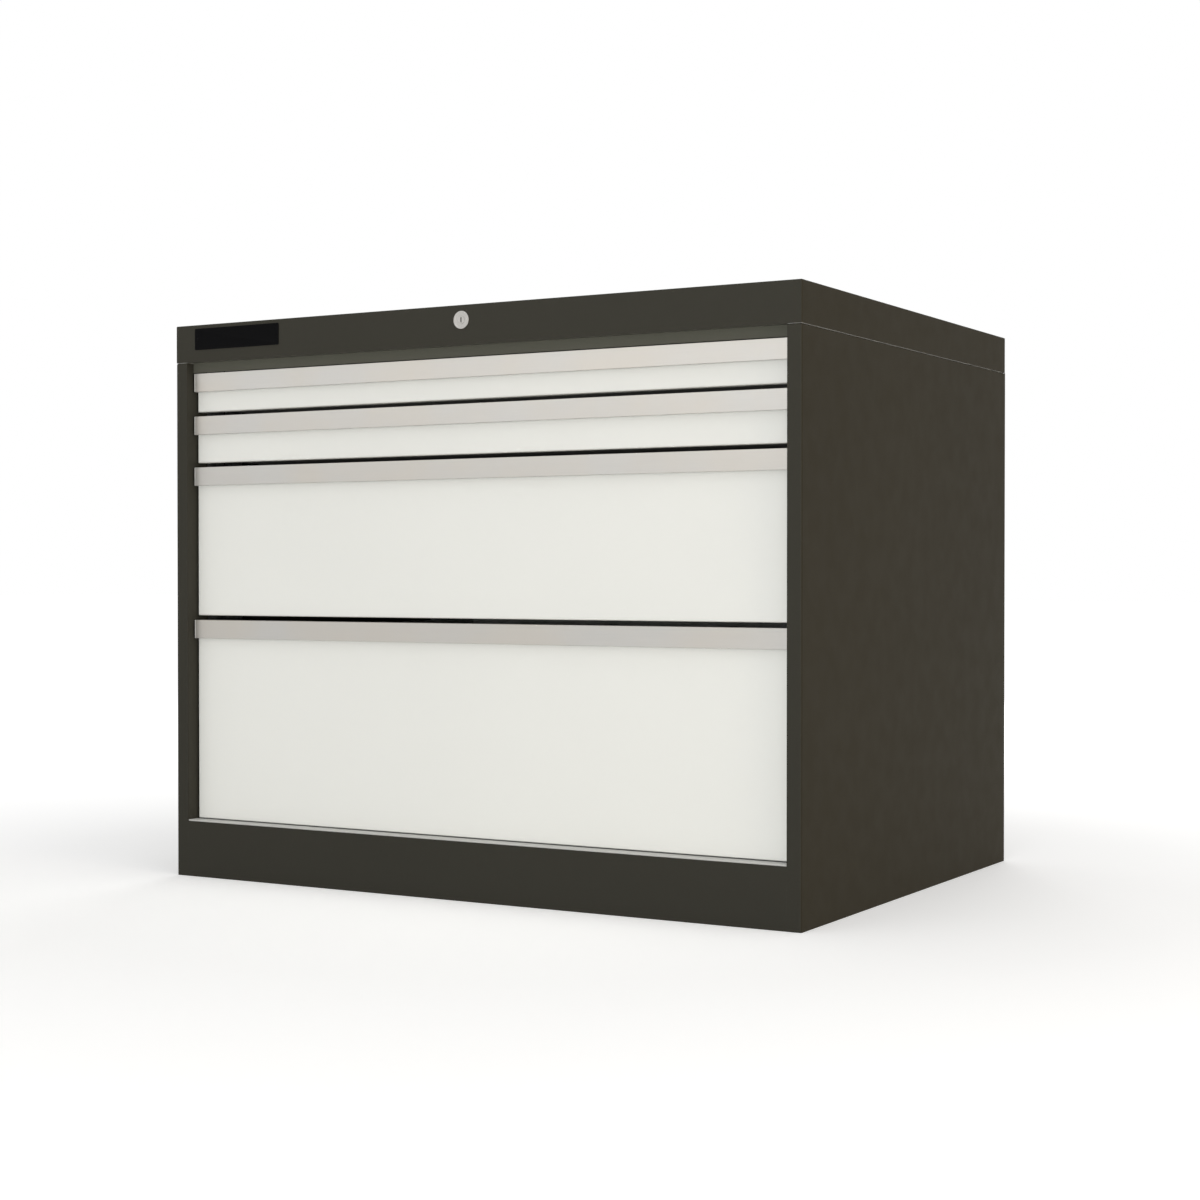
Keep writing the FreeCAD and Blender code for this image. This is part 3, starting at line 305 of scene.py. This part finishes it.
plastic = {
    "shades": (0.9, 1.1), "edgeRadius": 0.5 * mm, "edgeGain": 3, "roughScale": 120, "grainDepth": 0.1 * mm,
}
capPlastic = dict(
    plastic, colour=(0.56, 0.55, 0.53), wornColour=(0.66, 0.66, 0.64), cloudScale=40, wear=0.3,
    rough=(0.45, 0.56), gloss=0.4, grainScale=2400, grain=0.12)
rollerPlastic = dict(
    plastic, colour=(0.035, 0.035, 0.038), wornColour=(0.11, 0.11, 0.11), cloudScale=60, wear=0.5,
    rough=(0.43, 0.54), gloss=0.4, grainScale=1800, grain=0.15)
platePlastic = dict(
    plastic, colour=(0.002, 0.002, 0.0023), wornColour=(0.03, 0.03, 0.03), cloudScale=25, wear=0.4,
    rough=(0.45, 0.56), gloss=0.04, grainScale=900, grain=0.03)


def mouldedPlastic(name, settings):
    material, tree, shader = newMaterial(name)
    place = objectPlace(tree)
    clouds = spread(tree, noise(tree, place, settings["cloudScale"], detail=3), 0, 1)
    body = twoShades(tree, clouds, settings["colour"], settings["shades"])
    edges = edgeMask(tree, settings["edgeRadius"], settings["edgeGain"])
    body = blendColours(tree, product(tree, edges, settings["wear"]), body, settings["wornColour"])
    rough = spread(tree, noise(tree, place, settings["roughScale"], detail=4), *settings["rough"])
    connect(tree, shader, settings, body, rough, noise(tree, place, settings["grainScale"], detail=2))
    return material


finishes = {
    "olive_powder_coat": powderCoat("oliveCoat", oliveCoat),
    "deck_grey": powderCoat("litDeckCoat", litDeckCoat),
    "front_white": powderCoat("frontCoat", frontCoat),
    "light_grey_paint": powderCoat("greyCoat", greyCoat),
    "handle_aluminium": drawnAluminium("handleMetal", handleMetal),
    "cap_grey": mouldedPlastic("capPlastic", capPlastic),
    "zinc": zincPlate("zincMetal", zincMetal),
    "roller_nylon": mouldedPlastic("rollerPlastic", rollerPlastic),
    "lock_nickel": satinNickel("nickelMetal", nickelMetal),
    "plate_black": mouldedPlastic("platePlastic", platePlastic),
}
print("stage: finishes made,", len(finishes))


def dressCadNodes():
    for part in frame["record"]["subparts"]:
        node = frame["nodes"][part["node"]]
        node.data.materials.clear()
        node.data.materials.append(finishes[part["material_slot"]])


# small tools for modelling in edit mode

def deselectAll():
    bpy.ops.object.select_all(action="DESELECT")


def selectOnly(piece):
    deselectAll()
    piece.select_set(True)
    bpy.context.view_layer.objects.active = piece


def objectMode():
    bpy.ops.object.mode_set(mode="OBJECT")


def boxPiece(name, low, high):
    deselectAll()
    bpy.ops.mesh.primitive_cube_add(size=1, location=(Vector(low) + Vector(high)) / 2)
    piece = bpy.context.active_object
    piece.name = name
    piece.scale = Vector(high) - Vector(low)
    bpy.ops.object.transform_apply(location=True, rotation=True, scale=True)
    return piece


def discPiece(name, centre, radius, depth, sides, axis):
    # closed disc whose axis runs along X or Y
    turn = (math.radians(90), 0, 0) if axis == "Y" else (0, math.radians(90), 0)
    deselectAll()
    bpy.ops.mesh.primitive_cylinder_add(
        vertices=sides, radius=radius, depth=depth, location=centre, rotation=turn)
    piece = bpy.context.active_object
    piece.name = name
    bpy.ops.object.transform_apply(location=True, rotation=True, scale=True)
    return piece


def pickNone(piece, kind):
    # nothing selected, and object mode, in which code can select
    bpy.context.view_layer.objects.active = piece
    bpy.ops.object.mode_set(mode="EDIT")
    bpy.ops.mesh.select_mode(type=kind)
    bpy.ops.mesh.select_all(action="DESELECT")
    objectMode()


def pickFaces(piece, wanted):
    pickNone(piece, "FACE")
    for face in piece.data.polygons:
        face.select = wanted(face.center, face.normal)
    bpy.ops.object.mode_set(mode="EDIT")


def pickEdges(piece, wanted):
    pickNone(piece, "EDGE")
    points = piece.data.vertices
    for edge in piece.data.edges:
        start, end = (points[index].co for index in edge.vertices)
        edge.select = wanted(start, end)
    bpy.ops.object.mode_set(mode="EDIT")


def pickAll(piece):
    bpy.context.view_layer.objects.active = piece
    bpy.ops.object.mode_set(mode="EDIT")
    bpy.ops.mesh.select_all(action="SELECT")


def extrudeFaces(*move):
    bpy.ops.mesh.extrude_region_move(TRANSFORM_OT_translate={"value": move})


def modify(piece, kind, **values):
    # add a modifier and apply it at once
    selectOnly(piece)
    modifier = piece.modifiers.new(kind.title(), kind)
    for key, value in values.items():
        setattr(modifier, key, value)
    bpy.ops.object.modifier_apply(modifier=modifier.name)


def roundEdges(piece, width, steps, angle):
    # rounds the edges whose faces turn by more than the angle
    modify(piece, "BEVEL", width=width, segments=steps, limit_method="ANGLE",
           angle_limit=math.radians(angle), use_clamp_overlap=True)


def cutAway(piece, cutter):
    modify(piece, "BOOLEAN", operation="DIFFERENCE", object=cutter, solver="EXACT")
    bpy.data.objects.remove(cutter)


def bridgeBore(piece, middle, radius, axis):
    # joins the two open rims of a bore; axis 0 is X, 1 is Y
    def onRim(start, end):
        reaches = []
        for point in (start, end):
            offset = point - middle
            offset[axis] = 0
            reaches.append(offset.length)
        flat = abs(start[axis] - end[axis]) < tolerance
        return flat and all(abs(reach - radius) < tolerance for reach in reaches)

    pickEdges(piece, onRim)
    bpy.ops.mesh.bridge_edge_loops()
    objectMode()


def joinPieces(pieces, name):
    deselectAll()
    for piece in pieces:
        piece.select_set(True)
    bpy.context.view_layer.objects.active = pieces[0]
    bpy.ops.object.join()
    pieces[0].name = name
    return pieces[0]


def copyPiece(piece, shift):
    # copy with its own mesh, moved in the mesh
    twin = piece.copy()
    twin.data = piece.data.copy()
    scene.collection.objects.link(twin)
    for point in twin.data.vertices:
        point.co += shift
    return twin


def finishPiece(piece, node, body, slot, angle=35):
    # outward normals, smooth bends, finish, body and CAD node
    selectOnly(piece)
    pickAll(piece)
    bpy.ops.mesh.normals_make_consistent(inside=False)
    objectMode()
    bpy.ops.object.shade_smooth_by_angle(angle=math.radians(angle))
    modify(piece, "WEIGHTED_NORMAL", keep_sharp=True)
    piece.data.name = piece.name
    piece.data.materials.clear()
    piece.data.materials.append(finishes[slot])
    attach(piece, body)
    if node:
        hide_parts(node)


# drawer fronts: folded pans with rounded bends and a notch for the lock's finger

frontPan = {"sheet": 1.5 * mm, "bend": 2.2 * mm, "bendSteps": 5, "rimRound": 0.4 * mm}
lockNotch = {
    "channelLow": 39 * mm, "pocketLow": 27 * mm, "top": 49 * mm, "front": 23 * mm, "pocketBack": 28 * mm,
    "sideIn": 3 * mm, "past": 1 * mm,
}


def drawerFront(number):
    node = "drawer_%d_front" % number
    low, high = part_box(node)
    pan = boxPiece("drawerFront%d" % number, low, high)
    pickFaces(pan, lambda centre, normal: normal.y > 0.5)
    bpy.ops.mesh.delete(type="FACE")
    pickEdges(pan, lambda start, end: max(start.y, end.y) < low.y + tolerance)
    bpy.ops.mesh.bevel(offset=frontPan["bend"], segments=frontPan["bendSteps"], affect="EDGES")
    objectMode()
    modify(pan, "SOLIDIFY", thickness=frontPan["sheet"], offset=-1, use_even_offset=True)
    roundEdges(pan, frontPan["rimRound"], 2, 50)
    notchFlange(pan, number, high)
    finishPiece(pan, node, "drawer_%d" % number, "front_white")


def notchFlange(pan, number, high):
    # pocket for the finger, and the channel that leads to it from the rear
    base = cabinet["drawersTop"] - sum(cabinet["drawerHeights"][:number])
    inner = high.x - lockNotch["sideIn"]
    outer = high.x + lockNotch["past"]
    front = caseFront + lockNotch["front"]
    back = caseFront + lockNotch["pocketBack"]
    top = base + lockNotch["top"]
    pocketLow = base + lockNotch["pocketLow"]
    channelLow = base + lockNotch["channelLow"]
    cutAway(pan, boxPiece("notchCutter", (inner, front, pocketLow), (outer, back, top)))
    cutAway(pan, boxPiece("notchCutter", (inner, back - lockNotch["past"], channelLow),
                          (outer, high.y + lockNotch["past"], top)))


# handles: one drawn section, hooked over the top of the front

handleSection = {
    "wall": 2.2 * mm, "bead": 3.4 * mm, "beadHeight": 3.6 * mm, "leg": 7.2 * mm, "rib": 1.2 * mm,
    "ribPlace": 6.7 * mm, "round": 0.8 * mm,
}


def drawnHandle(number):
    node = "drawer_%d_handle" % number
    low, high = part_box(node)
    wall, rib = handleSection["wall"], handleSection["rib"]
    beadTop = low.z + handleSection["beadHeight"]
    shell = boxPiece("drawerHandle%d" % number, low, Vector((high.x, low.y + wall, high.z)))
    for level in (high.z - wall, beadTop):
        pickAll(shell)
        bpy.ops.mesh.bisect(plane_co=(0, 0, level), plane_no=(0, 0, 1))
    objectMode()
    # top web, extruded back from the upper strip of the face plate's rear side
    pickFaces(shell, lambda centre, normal: normal.y > 0.5 and centre.z > high.z - wall)
    run = high.y - low.y - wall - rib
    web = handleSection["ribPlace"] - wall
    for step in (web - rib, rib, run - web, rib):
        extrudeFaces(0, step, 0)
    objectMode()
    # legs, extruded down from the web's underside
    ribEnd = low.y + handleSection["ribPlace"]
    for start, end in ((ribEnd - rib, ribEnd), (high.y - rib, high.y)):
        pickFaces(shell, lambda centre, normal: normal.z < -0.5 and start < centre.y < end)
        extrudeFaces(0, 0, wall - handleSection["leg"])
        objectMode()
    # grip bead behind the lower edge
    pickFaces(shell, lambda centre, normal: normal.y > 0.5 and centre.z < beadTop)
    extrudeFaces(0, handleSection["bead"] - wall, 0)
    objectMode()
    roundEdges(shell, handleSection["round"], 3, 60)
    finishPiece(shell, node, "drawer_%d" % number, "handle_aluminium")


# end caps: a pair for each handle, rounded along their length and at their outer ends

endCap = {"round": 0.9 * mm, "roundSteps": 4}


def handleCaps(number):
    node = "drawer_%d_handle_caps" % number
    low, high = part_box(node)
    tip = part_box("drawer_%d_handle" % number)[1].x
    caps = []
    for name, inner, outer in (("capRight", tip, high.x), ("capLeft", -tip, low.x)):
        left, right = sorted((inner, outer))
        cap = boxPiece(name, (left, low.y, low.z), (right, high.y, high.z))
        pickEdges(cap, lambda start, end: abs(start.x - end.x) > tolerance
                  or max(abs(start.x - outer), abs(end.x - outer)) < tolerance)
        bpy.ops.mesh.bevel(offset=endCap["round"], segments=endCap["roundSteps"], affect="EDGES")
        objectMode()
        caps.append(cap)
    pair = joinPieces(caps, "handleCaps%d" % number)
    finishPiece(pair, node, "drawer_%d" % number, "cap_grey")


# name plate: blank, with a raised border and two rivets

namePlate = {
    "border": 1.6 * mm, "sink": 0.35 * mm, "corner": 2.0 * mm, "cornerSteps": 5, "soft": 0.25 * mm,
}
plateRivet = {
    "radius": 1.5 * mm, "height": 0.5 * mm, "inset": 5.5 * mm, "seat": 0.1 * mm, "rim": 0.5 * mm,
    "crown": 0.12 * mm, "sides": 20,
}


def blankPlate():
    low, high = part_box("name_plate")
    plate = boxPiece("namePlate", low, high)
    pickEdges(plate, lambda start, end: abs(start.y - end.y) > tolerance)
    bpy.ops.mesh.bevel(offset=namePlate["corner"], segments=namePlate["cornerSteps"], affect="EDGES")
    objectMode()
    pickFaces(plate, lambda centre, normal: normal.y < -0.9)
    bpy.ops.mesh.inset(thickness=namePlate["border"])
    bpy.ops.mesh.inset(thickness=namePlate["sink"])
    bpy.ops.transform.translate(value=(0, namePlate["sink"], 0))
    objectMode()
    roundEdges(plate, namePlate["soft"], 2, 40)
    middle = (low + high) / 2
    face = low.y + namePlate["sink"]
    ends = (low.x + plateRivet["inset"], high.x - plateRivet["inset"])
    rivets = [crownedRivet(end, face, middle.z) for end in ends]
    finishPiece(joinPieces([plate] + rivets, "namePlate"), "name_plate", "housing", "plate_black")


def crownedRivet(across, face, level):
    depth = face - plateRivet["height"] / 2 + plateRivet["seat"]
    rivet = discPiece("plateRivet", (across, depth, level), plateRivet["radius"], plateRivet["height"],
                      plateRivet["sides"], "Y")
    pickFaces(rivet, lambda centre, normal: normal.y < -0.9)
    bpy.ops.mesh.inset(thickness=plateRivet["rim"])
    bpy.ops.transform.translate(value=(0, -plateRivet["crown"], 0))
    objectMode()
    return rivet


# lock: turned face with a dished ring, and the plug with its key slot

lockFace = {
    "radius": 12.2 * mm, "thick": 1.2 * mm, "sides": 64, "ring": 1.9 * mm, "dish": 0.35 * mm,
    "bore": 5.55 * mm, "barrel": 9.0 * mm, "barrelLength": 22 * mm, "soft": 0.3 * mm,
}
plugFace = {"radius": 5.5 * mm, "sides": 48, "soft": 0.25 * mm}
keySlot = {"width": 1.6 * mm, "height": 7.0 * mm, "depth": 10 * mm, "past": 1 * mm}


def turnedHousing():
    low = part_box("lock_housing")[0]
    plugLow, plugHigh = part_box("lock_plug")
    middle = (plugLow + plugHigh) / 2
    radius, bore = lockFace["radius"], lockFace["bore"]
    face = discPiece("lockFace", (middle.x, low.y + lockFace["thick"] / 2, middle.z), radius,
                     lockFace["thick"], lockFace["sides"], "Y")
    pickFaces(face, lambda centre, normal: normal.y < -0.9)
    bpy.ops.mesh.inset(thickness=lockFace["ring"])
    bpy.ops.mesh.inset(thickness=lockFace["dish"])
    bpy.ops.transform.translate(value=(0, lockFace["dish"], 0))
    bpy.ops.mesh.inset(thickness=radius - lockFace["ring"] - lockFace["dish"] - bore)
    bpy.ops.mesh.delete(type="FACE")
    # barrel behind the face
    pickFaces(face, lambda centre, normal: normal.y > 0.9)
    bpy.ops.mesh.inset(thickness=radius - lockFace["barrel"])
    extrudeFaces(0, lockFace["barrelLength"], 0)
    bpy.ops.mesh.inset(thickness=lockFace["barrel"] - bore)
    bpy.ops.mesh.delete(type="FACE")
    bridgeBore(face, middle, bore, 1)
    roundEdges(face, lockFace["soft"], 3, 50)
    finishPiece(face, "lock_housing", "housing", "lock_nickel")


def slottedPlug():
    low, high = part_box("lock_plug")
    middle = (low + high) / 2
    plug = discPiece("lockPlug", middle, plugFace["radius"], high.y - low.y, plugFace["sides"], "Y")
    across, up = keySlot["width"] / 2, keySlot["height"] / 2
    cutAway(plug, boxPiece("slotCutter", (middle.x - across, low.y - keySlot["past"], middle.z - up),
                           (middle.x + across, low.y + keySlot["depth"], middle.z + up)))
    roundEdges(plug, plugFace["soft"], 2, 50)
    finishPiece(plug, "lock_plug", "lock_plug", "lock_nickel")


# rollers: turned rings with a raised hub and rounded rims

rollerRing = {
    "radius": 11 * mm, "bore": 4.05 * mm, "hub": 6.4 * mm, "width": 10 * mm, "sides": 40,
    "dish": 0.7 * mm, "slope": 0.3 * mm, "lip": 1.6 * mm, "soft": 0.5 * mm,
}
rollerReach = {"inner": 460.9 * mm, "outer": 475.3 * mm}
rollerRows = {"front": ("inner",), "middle": ("inner", "outer"), "rear": ("outer",)}


def turnedRoller():
    ring = discPiece("rollerRing", (0, 0, 0), rollerRing["radius"], rollerRing["width"],
                     rollerRing["sides"], "X")
    slope, dish = rollerRing["slope"], rollerRing["dish"]
    for side in (-1, 1):
        pickFaces(ring, lambda centre, normal: normal.x * side > 0.9)
        bpy.ops.mesh.inset(thickness=rollerRing["lip"])
        bpy.ops.mesh.inset(thickness=slope)
        bpy.ops.transform.translate(value=(-side * dish, 0, 0))
        bpy.ops.mesh.inset(thickness=rollerRing["radius"] - rollerRing["lip"] - slope - rollerRing["hub"])
        bpy.ops.mesh.inset(thickness=slope)
        bpy.ops.transform.translate(value=(side * dish, 0, 0))
        bpy.ops.mesh.inset(thickness=rollerRing["hub"] - slope - rollerRing["bore"])
        bpy.ops.mesh.delete(type="FACE")
        objectMode()
    bridgeBore(ring, Vector((0, 0, 0)), rollerRing["bore"], 0)
    roundEdges(ring, rollerRing["soft"], 2, 60)
    return ring


def rollerSets():
    master = turnedRoller()
    for number in drawers:
        for row, places in rollerRows.items():
            node = "drawer_%d_%s_rollers" % (number, row)
            low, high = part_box(node)
            middle = (low + high) / 2
            rings = []
            for place in places:
                for side in (-1, 1):
                    shift = Vector((side * rollerReach[place], middle.y, middle.z))
                    rings.append(copyPiece(master, shift))
            group = joinPieces(rings, "drawer%d%sRollers" % (number, row.title()))
            finishPiece(group, node, "%s_rollers_%d" % (row, number), "roller_nylon")
    bpy.data.objects.remove(master)


# back panel screws: countersunk heads with a cross recess

panelScrew = {
    "head": 3.5 * mm, "shank": 2.0 * mm, "sides": 24, "length": 8 * mm, "sink": 1.5 * mm,
    "recess": 0.9 * mm, "arm": 3.6 * mm, "blade": 0.9 * mm, "past": 1 * mm,
    "count": 6, "pitch": 133 * mm, "first": 45 * mm,
}


def crossScrew(back):
    screw = discPiece("screwMaster", (0, back - panelScrew["length"] / 2, 0), panelScrew["shank"],
                      panelScrew["length"], panelScrew["sides"], "Y")
    pickAll(screw)
    bpy.ops.mesh.bisect(plane_co=(0, back - panelScrew["sink"], 0), plane_no=(0, 1, 0))
    objectMode()
    pickFaces(screw, lambda centre, normal: normal.y > 0.9)
    grow = panelScrew["head"] / panelScrew["shank"]
    bpy.ops.transform.resize(value=(grow, 1, grow), center_override=(0, back, 0))
    objectMode()
    arm, blade = panelScrew["arm"] / 2, panelScrew["blade"] / 2
    for across, up in ((arm, blade), (blade, arm)):
        cutAway(screw, boxPiece("recessCutter", (-across, back - panelScrew["recess"], -up),
                                (across, back + panelScrew["past"], up)))
    return screw


def panelScrews():
    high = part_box("back_panel_screws")[1]
    master = crossScrew(high.y)
    column = high.x - panelScrew["head"]
    screws = []
    for side in (-1, 1):
        for step in range(panelScrew["count"]):
            level = panelScrew["first"] + step * panelScrew["pitch"]
            screws.append(copyPiece(master, Vector((side * column, 0, level))))
    bpy.data.objects.remove(master)
    group = joinPieces(screws, "panelScrews")
    finishPiece(group, "back_panel_screws", "housing", "zinc", 30)


# pale strips in the joint between the side panels and the cover, a painted highlight standing in for the
# lit joint line

highlightStrip = {
    "innerIn": 20.1 * mm, "outerIn": 0.7 * mm, "frontIn": 0.7 * mm, "rearIn": 12 * mm,
    "low": 755.6 * mm, "top": 755.9 * mm,
}


def jointHighlightStrips():
    front = caseFront + highlightStrip["frontIn"]
    rear = -caseFront - highlightStrip["rearIn"]
    inner, outer = caseSide - highlightStrip["innerIn"], caseSide - highlightStrip["outerIn"]
    for name, left, right in (("leftJointHighlight", -outer, -inner), ("rightJointHighlight", inner, outer)):
        strip = boxPiece(name, (left, front, highlightStrip["low"]), (right, rear, highlightStrip["top"]))
        finishPiece(strip, None, "housing", "light_grey_paint")


# camera, floor and light

photoCamera = {
    "place": (1.58186, -2.74406, 0.44561), "tilt": 89.2784, "turn": 29.976, "lens": 62.777, "sensor": 36,
    "farClip": 200,
}
studio = {
    "world": 0.45, "floor": (0.86, 0.86, 0.855), "floorShades": (0.995, 1), "floorSize": 60,
    "floorDrop": 0.2 * mm, "floorRough": 0.9, "hazeScale": 1.5,
    "nearGlow": 0.3, "farGlow": 0.66, "nearEdge": 0.9, "farEdge": 3.2,
}
softLights = {
    "lowLight": {"place": (1.6, -5.6, 0.3), "aim": (0, 0, 0.5), "size": (1.6, 0.5), "power": 113,
                 "colour": (1.0, 0.995, 0.985)},
    "sideLight": {"place": (4.6, -1.2, 0.7), "aim": (0, -0.3, 0.4), "size": (2.0, 1.2), "power": 56,
                  "colour": (1.0, 0.86, 0.68)},
    "topLight": {"place": (0.8, -1.4, 3.6), "aim": (0, 0, 0.4), "size": (2.6, 2.6), "power": 30,
                 "colour": (1.0, 1.0, 1.0)},
    "softCard": {"place": (-1.7, -3.9, 1.75), "aim": (0.2, -0.4, 0.6), "size": (1.8, 1.6), "power": 6,
                 "colour": (1.0, 0.97, 0.93)},
    "backLight": {"place": (-0.8, 3.6, 2.0), "aim": (0, 0, 0.4), "size": (2.6, 2.6), "power": 60,
                  "colour": (1.0, 1.0, 1.0)},
}


def setCamera():
    data = bpy.data.cameras.new("photoCamera")
    data.lens = photoCamera["lens"]
    data.sensor_width = photoCamera["sensor"]
    data.sensor_fit = "HORIZONTAL"
    data.clip_end = photoCamera["farClip"]
    camera = bpy.data.objects.new("photoCamera", data)
    scene.collection.objects.link(camera)
    camera.location = photoCamera["place"]
    camera.rotation_euler = (math.radians(photoCamera["tilt"]), 0, math.radians(photoCamera["turn"]))
    scene.camera = camera


def seenRays(tree):
    # 1 for rays that show the backdrop, directly or in metal and glass
    paths = addNode(tree, "ShaderNodeLightPath")
    mirrored = addNode(tree, "ShaderNodeMath", operation="MAXIMUM")
    tree.links.new(paths.outputs["Is Glossy Ray"], mirrored.inputs[0])
    tree.links.new(paths.outputs["Is Transmission Ray"], mirrored.inputs[1])
    seen = addNode(tree, "ShaderNodeMath", operation="MAXIMUM")
    tree.links.new(paths.outputs["Is Camera Ray"], seen.inputs[0])
    tree.links.new(mirrored.outputs["Value"], seen.inputs[1])
    return seen.outputs["Value"]


def studioWorld():
    world = bpy.data.worlds.new("studioWorld")
    scene.world = world
    world.use_nodes = True
    tree = world.node_tree
    ground = tree.nodes["Background"]
    ground.inputs["Color"].default_value = (1, 1, 1, 1)
    strength = spread(tree, seenRays(tree), studio["world"], 1.0, start=0, end=1)
    tree.links.new(strength, ground.inputs["Strength"])


def studioFloor():
    deselectAll()
    bpy.ops.mesh.primitive_plane_add(size=studio["floorSize"], location=(0, 0, -studio["floorDrop"]))
    floor = bpy.context.active_object
    floor.name = "studioFloor"
    material, tree, shader = newMaterial("studioFloor")
    place = objectPlace(tree)
    haze = spread(tree, noise(tree, place, studio["hazeScale"], detail=3), 0, 1)
    body = twoShades(tree, haze, studio["floor"], studio["floorShades"])
    tree.links.new(body, shader.inputs["Base Color"])
    shader.inputs["Roughness"].default_value = studio["floorRough"]
    shader.inputs["Specular IOR Level"].default_value = 0.0
    shader.inputs["Emission Color"].default_value = (1, 1, 1, 1)
    # the backdrop brightens away from the cabinet, so that its shadow stays
    reach = addNode(tree, "ShaderNodeVectorMath", operation="LENGTH")
    tree.links.new(place, reach.inputs[0])
    rise = spread(tree, reach.outputs["Value"], studio["nearGlow"], studio["farGlow"],
                  start=studio["nearEdge"], end=studio["farEdge"])
    tree.links.new(product(tree, seenRays(tree), rise), shader.inputs["Emission Strength"])
    floor.data.materials.append(material)


def studioLights():
    for name, settings in softLights.items():
        data = bpy.data.lights.new(name, "AREA")
        data.shape = "RECTANGLE"
        data.size, data.size_y = settings["size"]
        data.energy = settings["power"]
        data.color = settings["colour"]
        lamp = bpy.data.objects.new(name, data)
        scene.collection.objects.link(lamp)
        lamp.location = settings["place"]
        direction = Vector(settings["aim"]) - Vector(settings["place"])
        lamp.rotation_euler = direction.to_track_quat("-Z", "Y").to_euler()


scene.view_settings.view_transform = "Standard"
dressCadNodes()
print("stage: CAD nodes dressed")
for drawer in drawers:
    drawerFront(drawer)
    drawnHandle(drawer)
    handleCaps(drawer)
print("stage: fronts, handles and caps modelled")
blankPlate()
turnedHousing()
slottedPlug()
print("stage: name plate and lock modelled")
rollerSets()
panelScrews()
jointHighlightStrips()
print("stage: rollers, screws and seals modelled")
setCamera()
studioWorld()
studioFloor()
studioLights()
print("stage: camera, floor and light set")
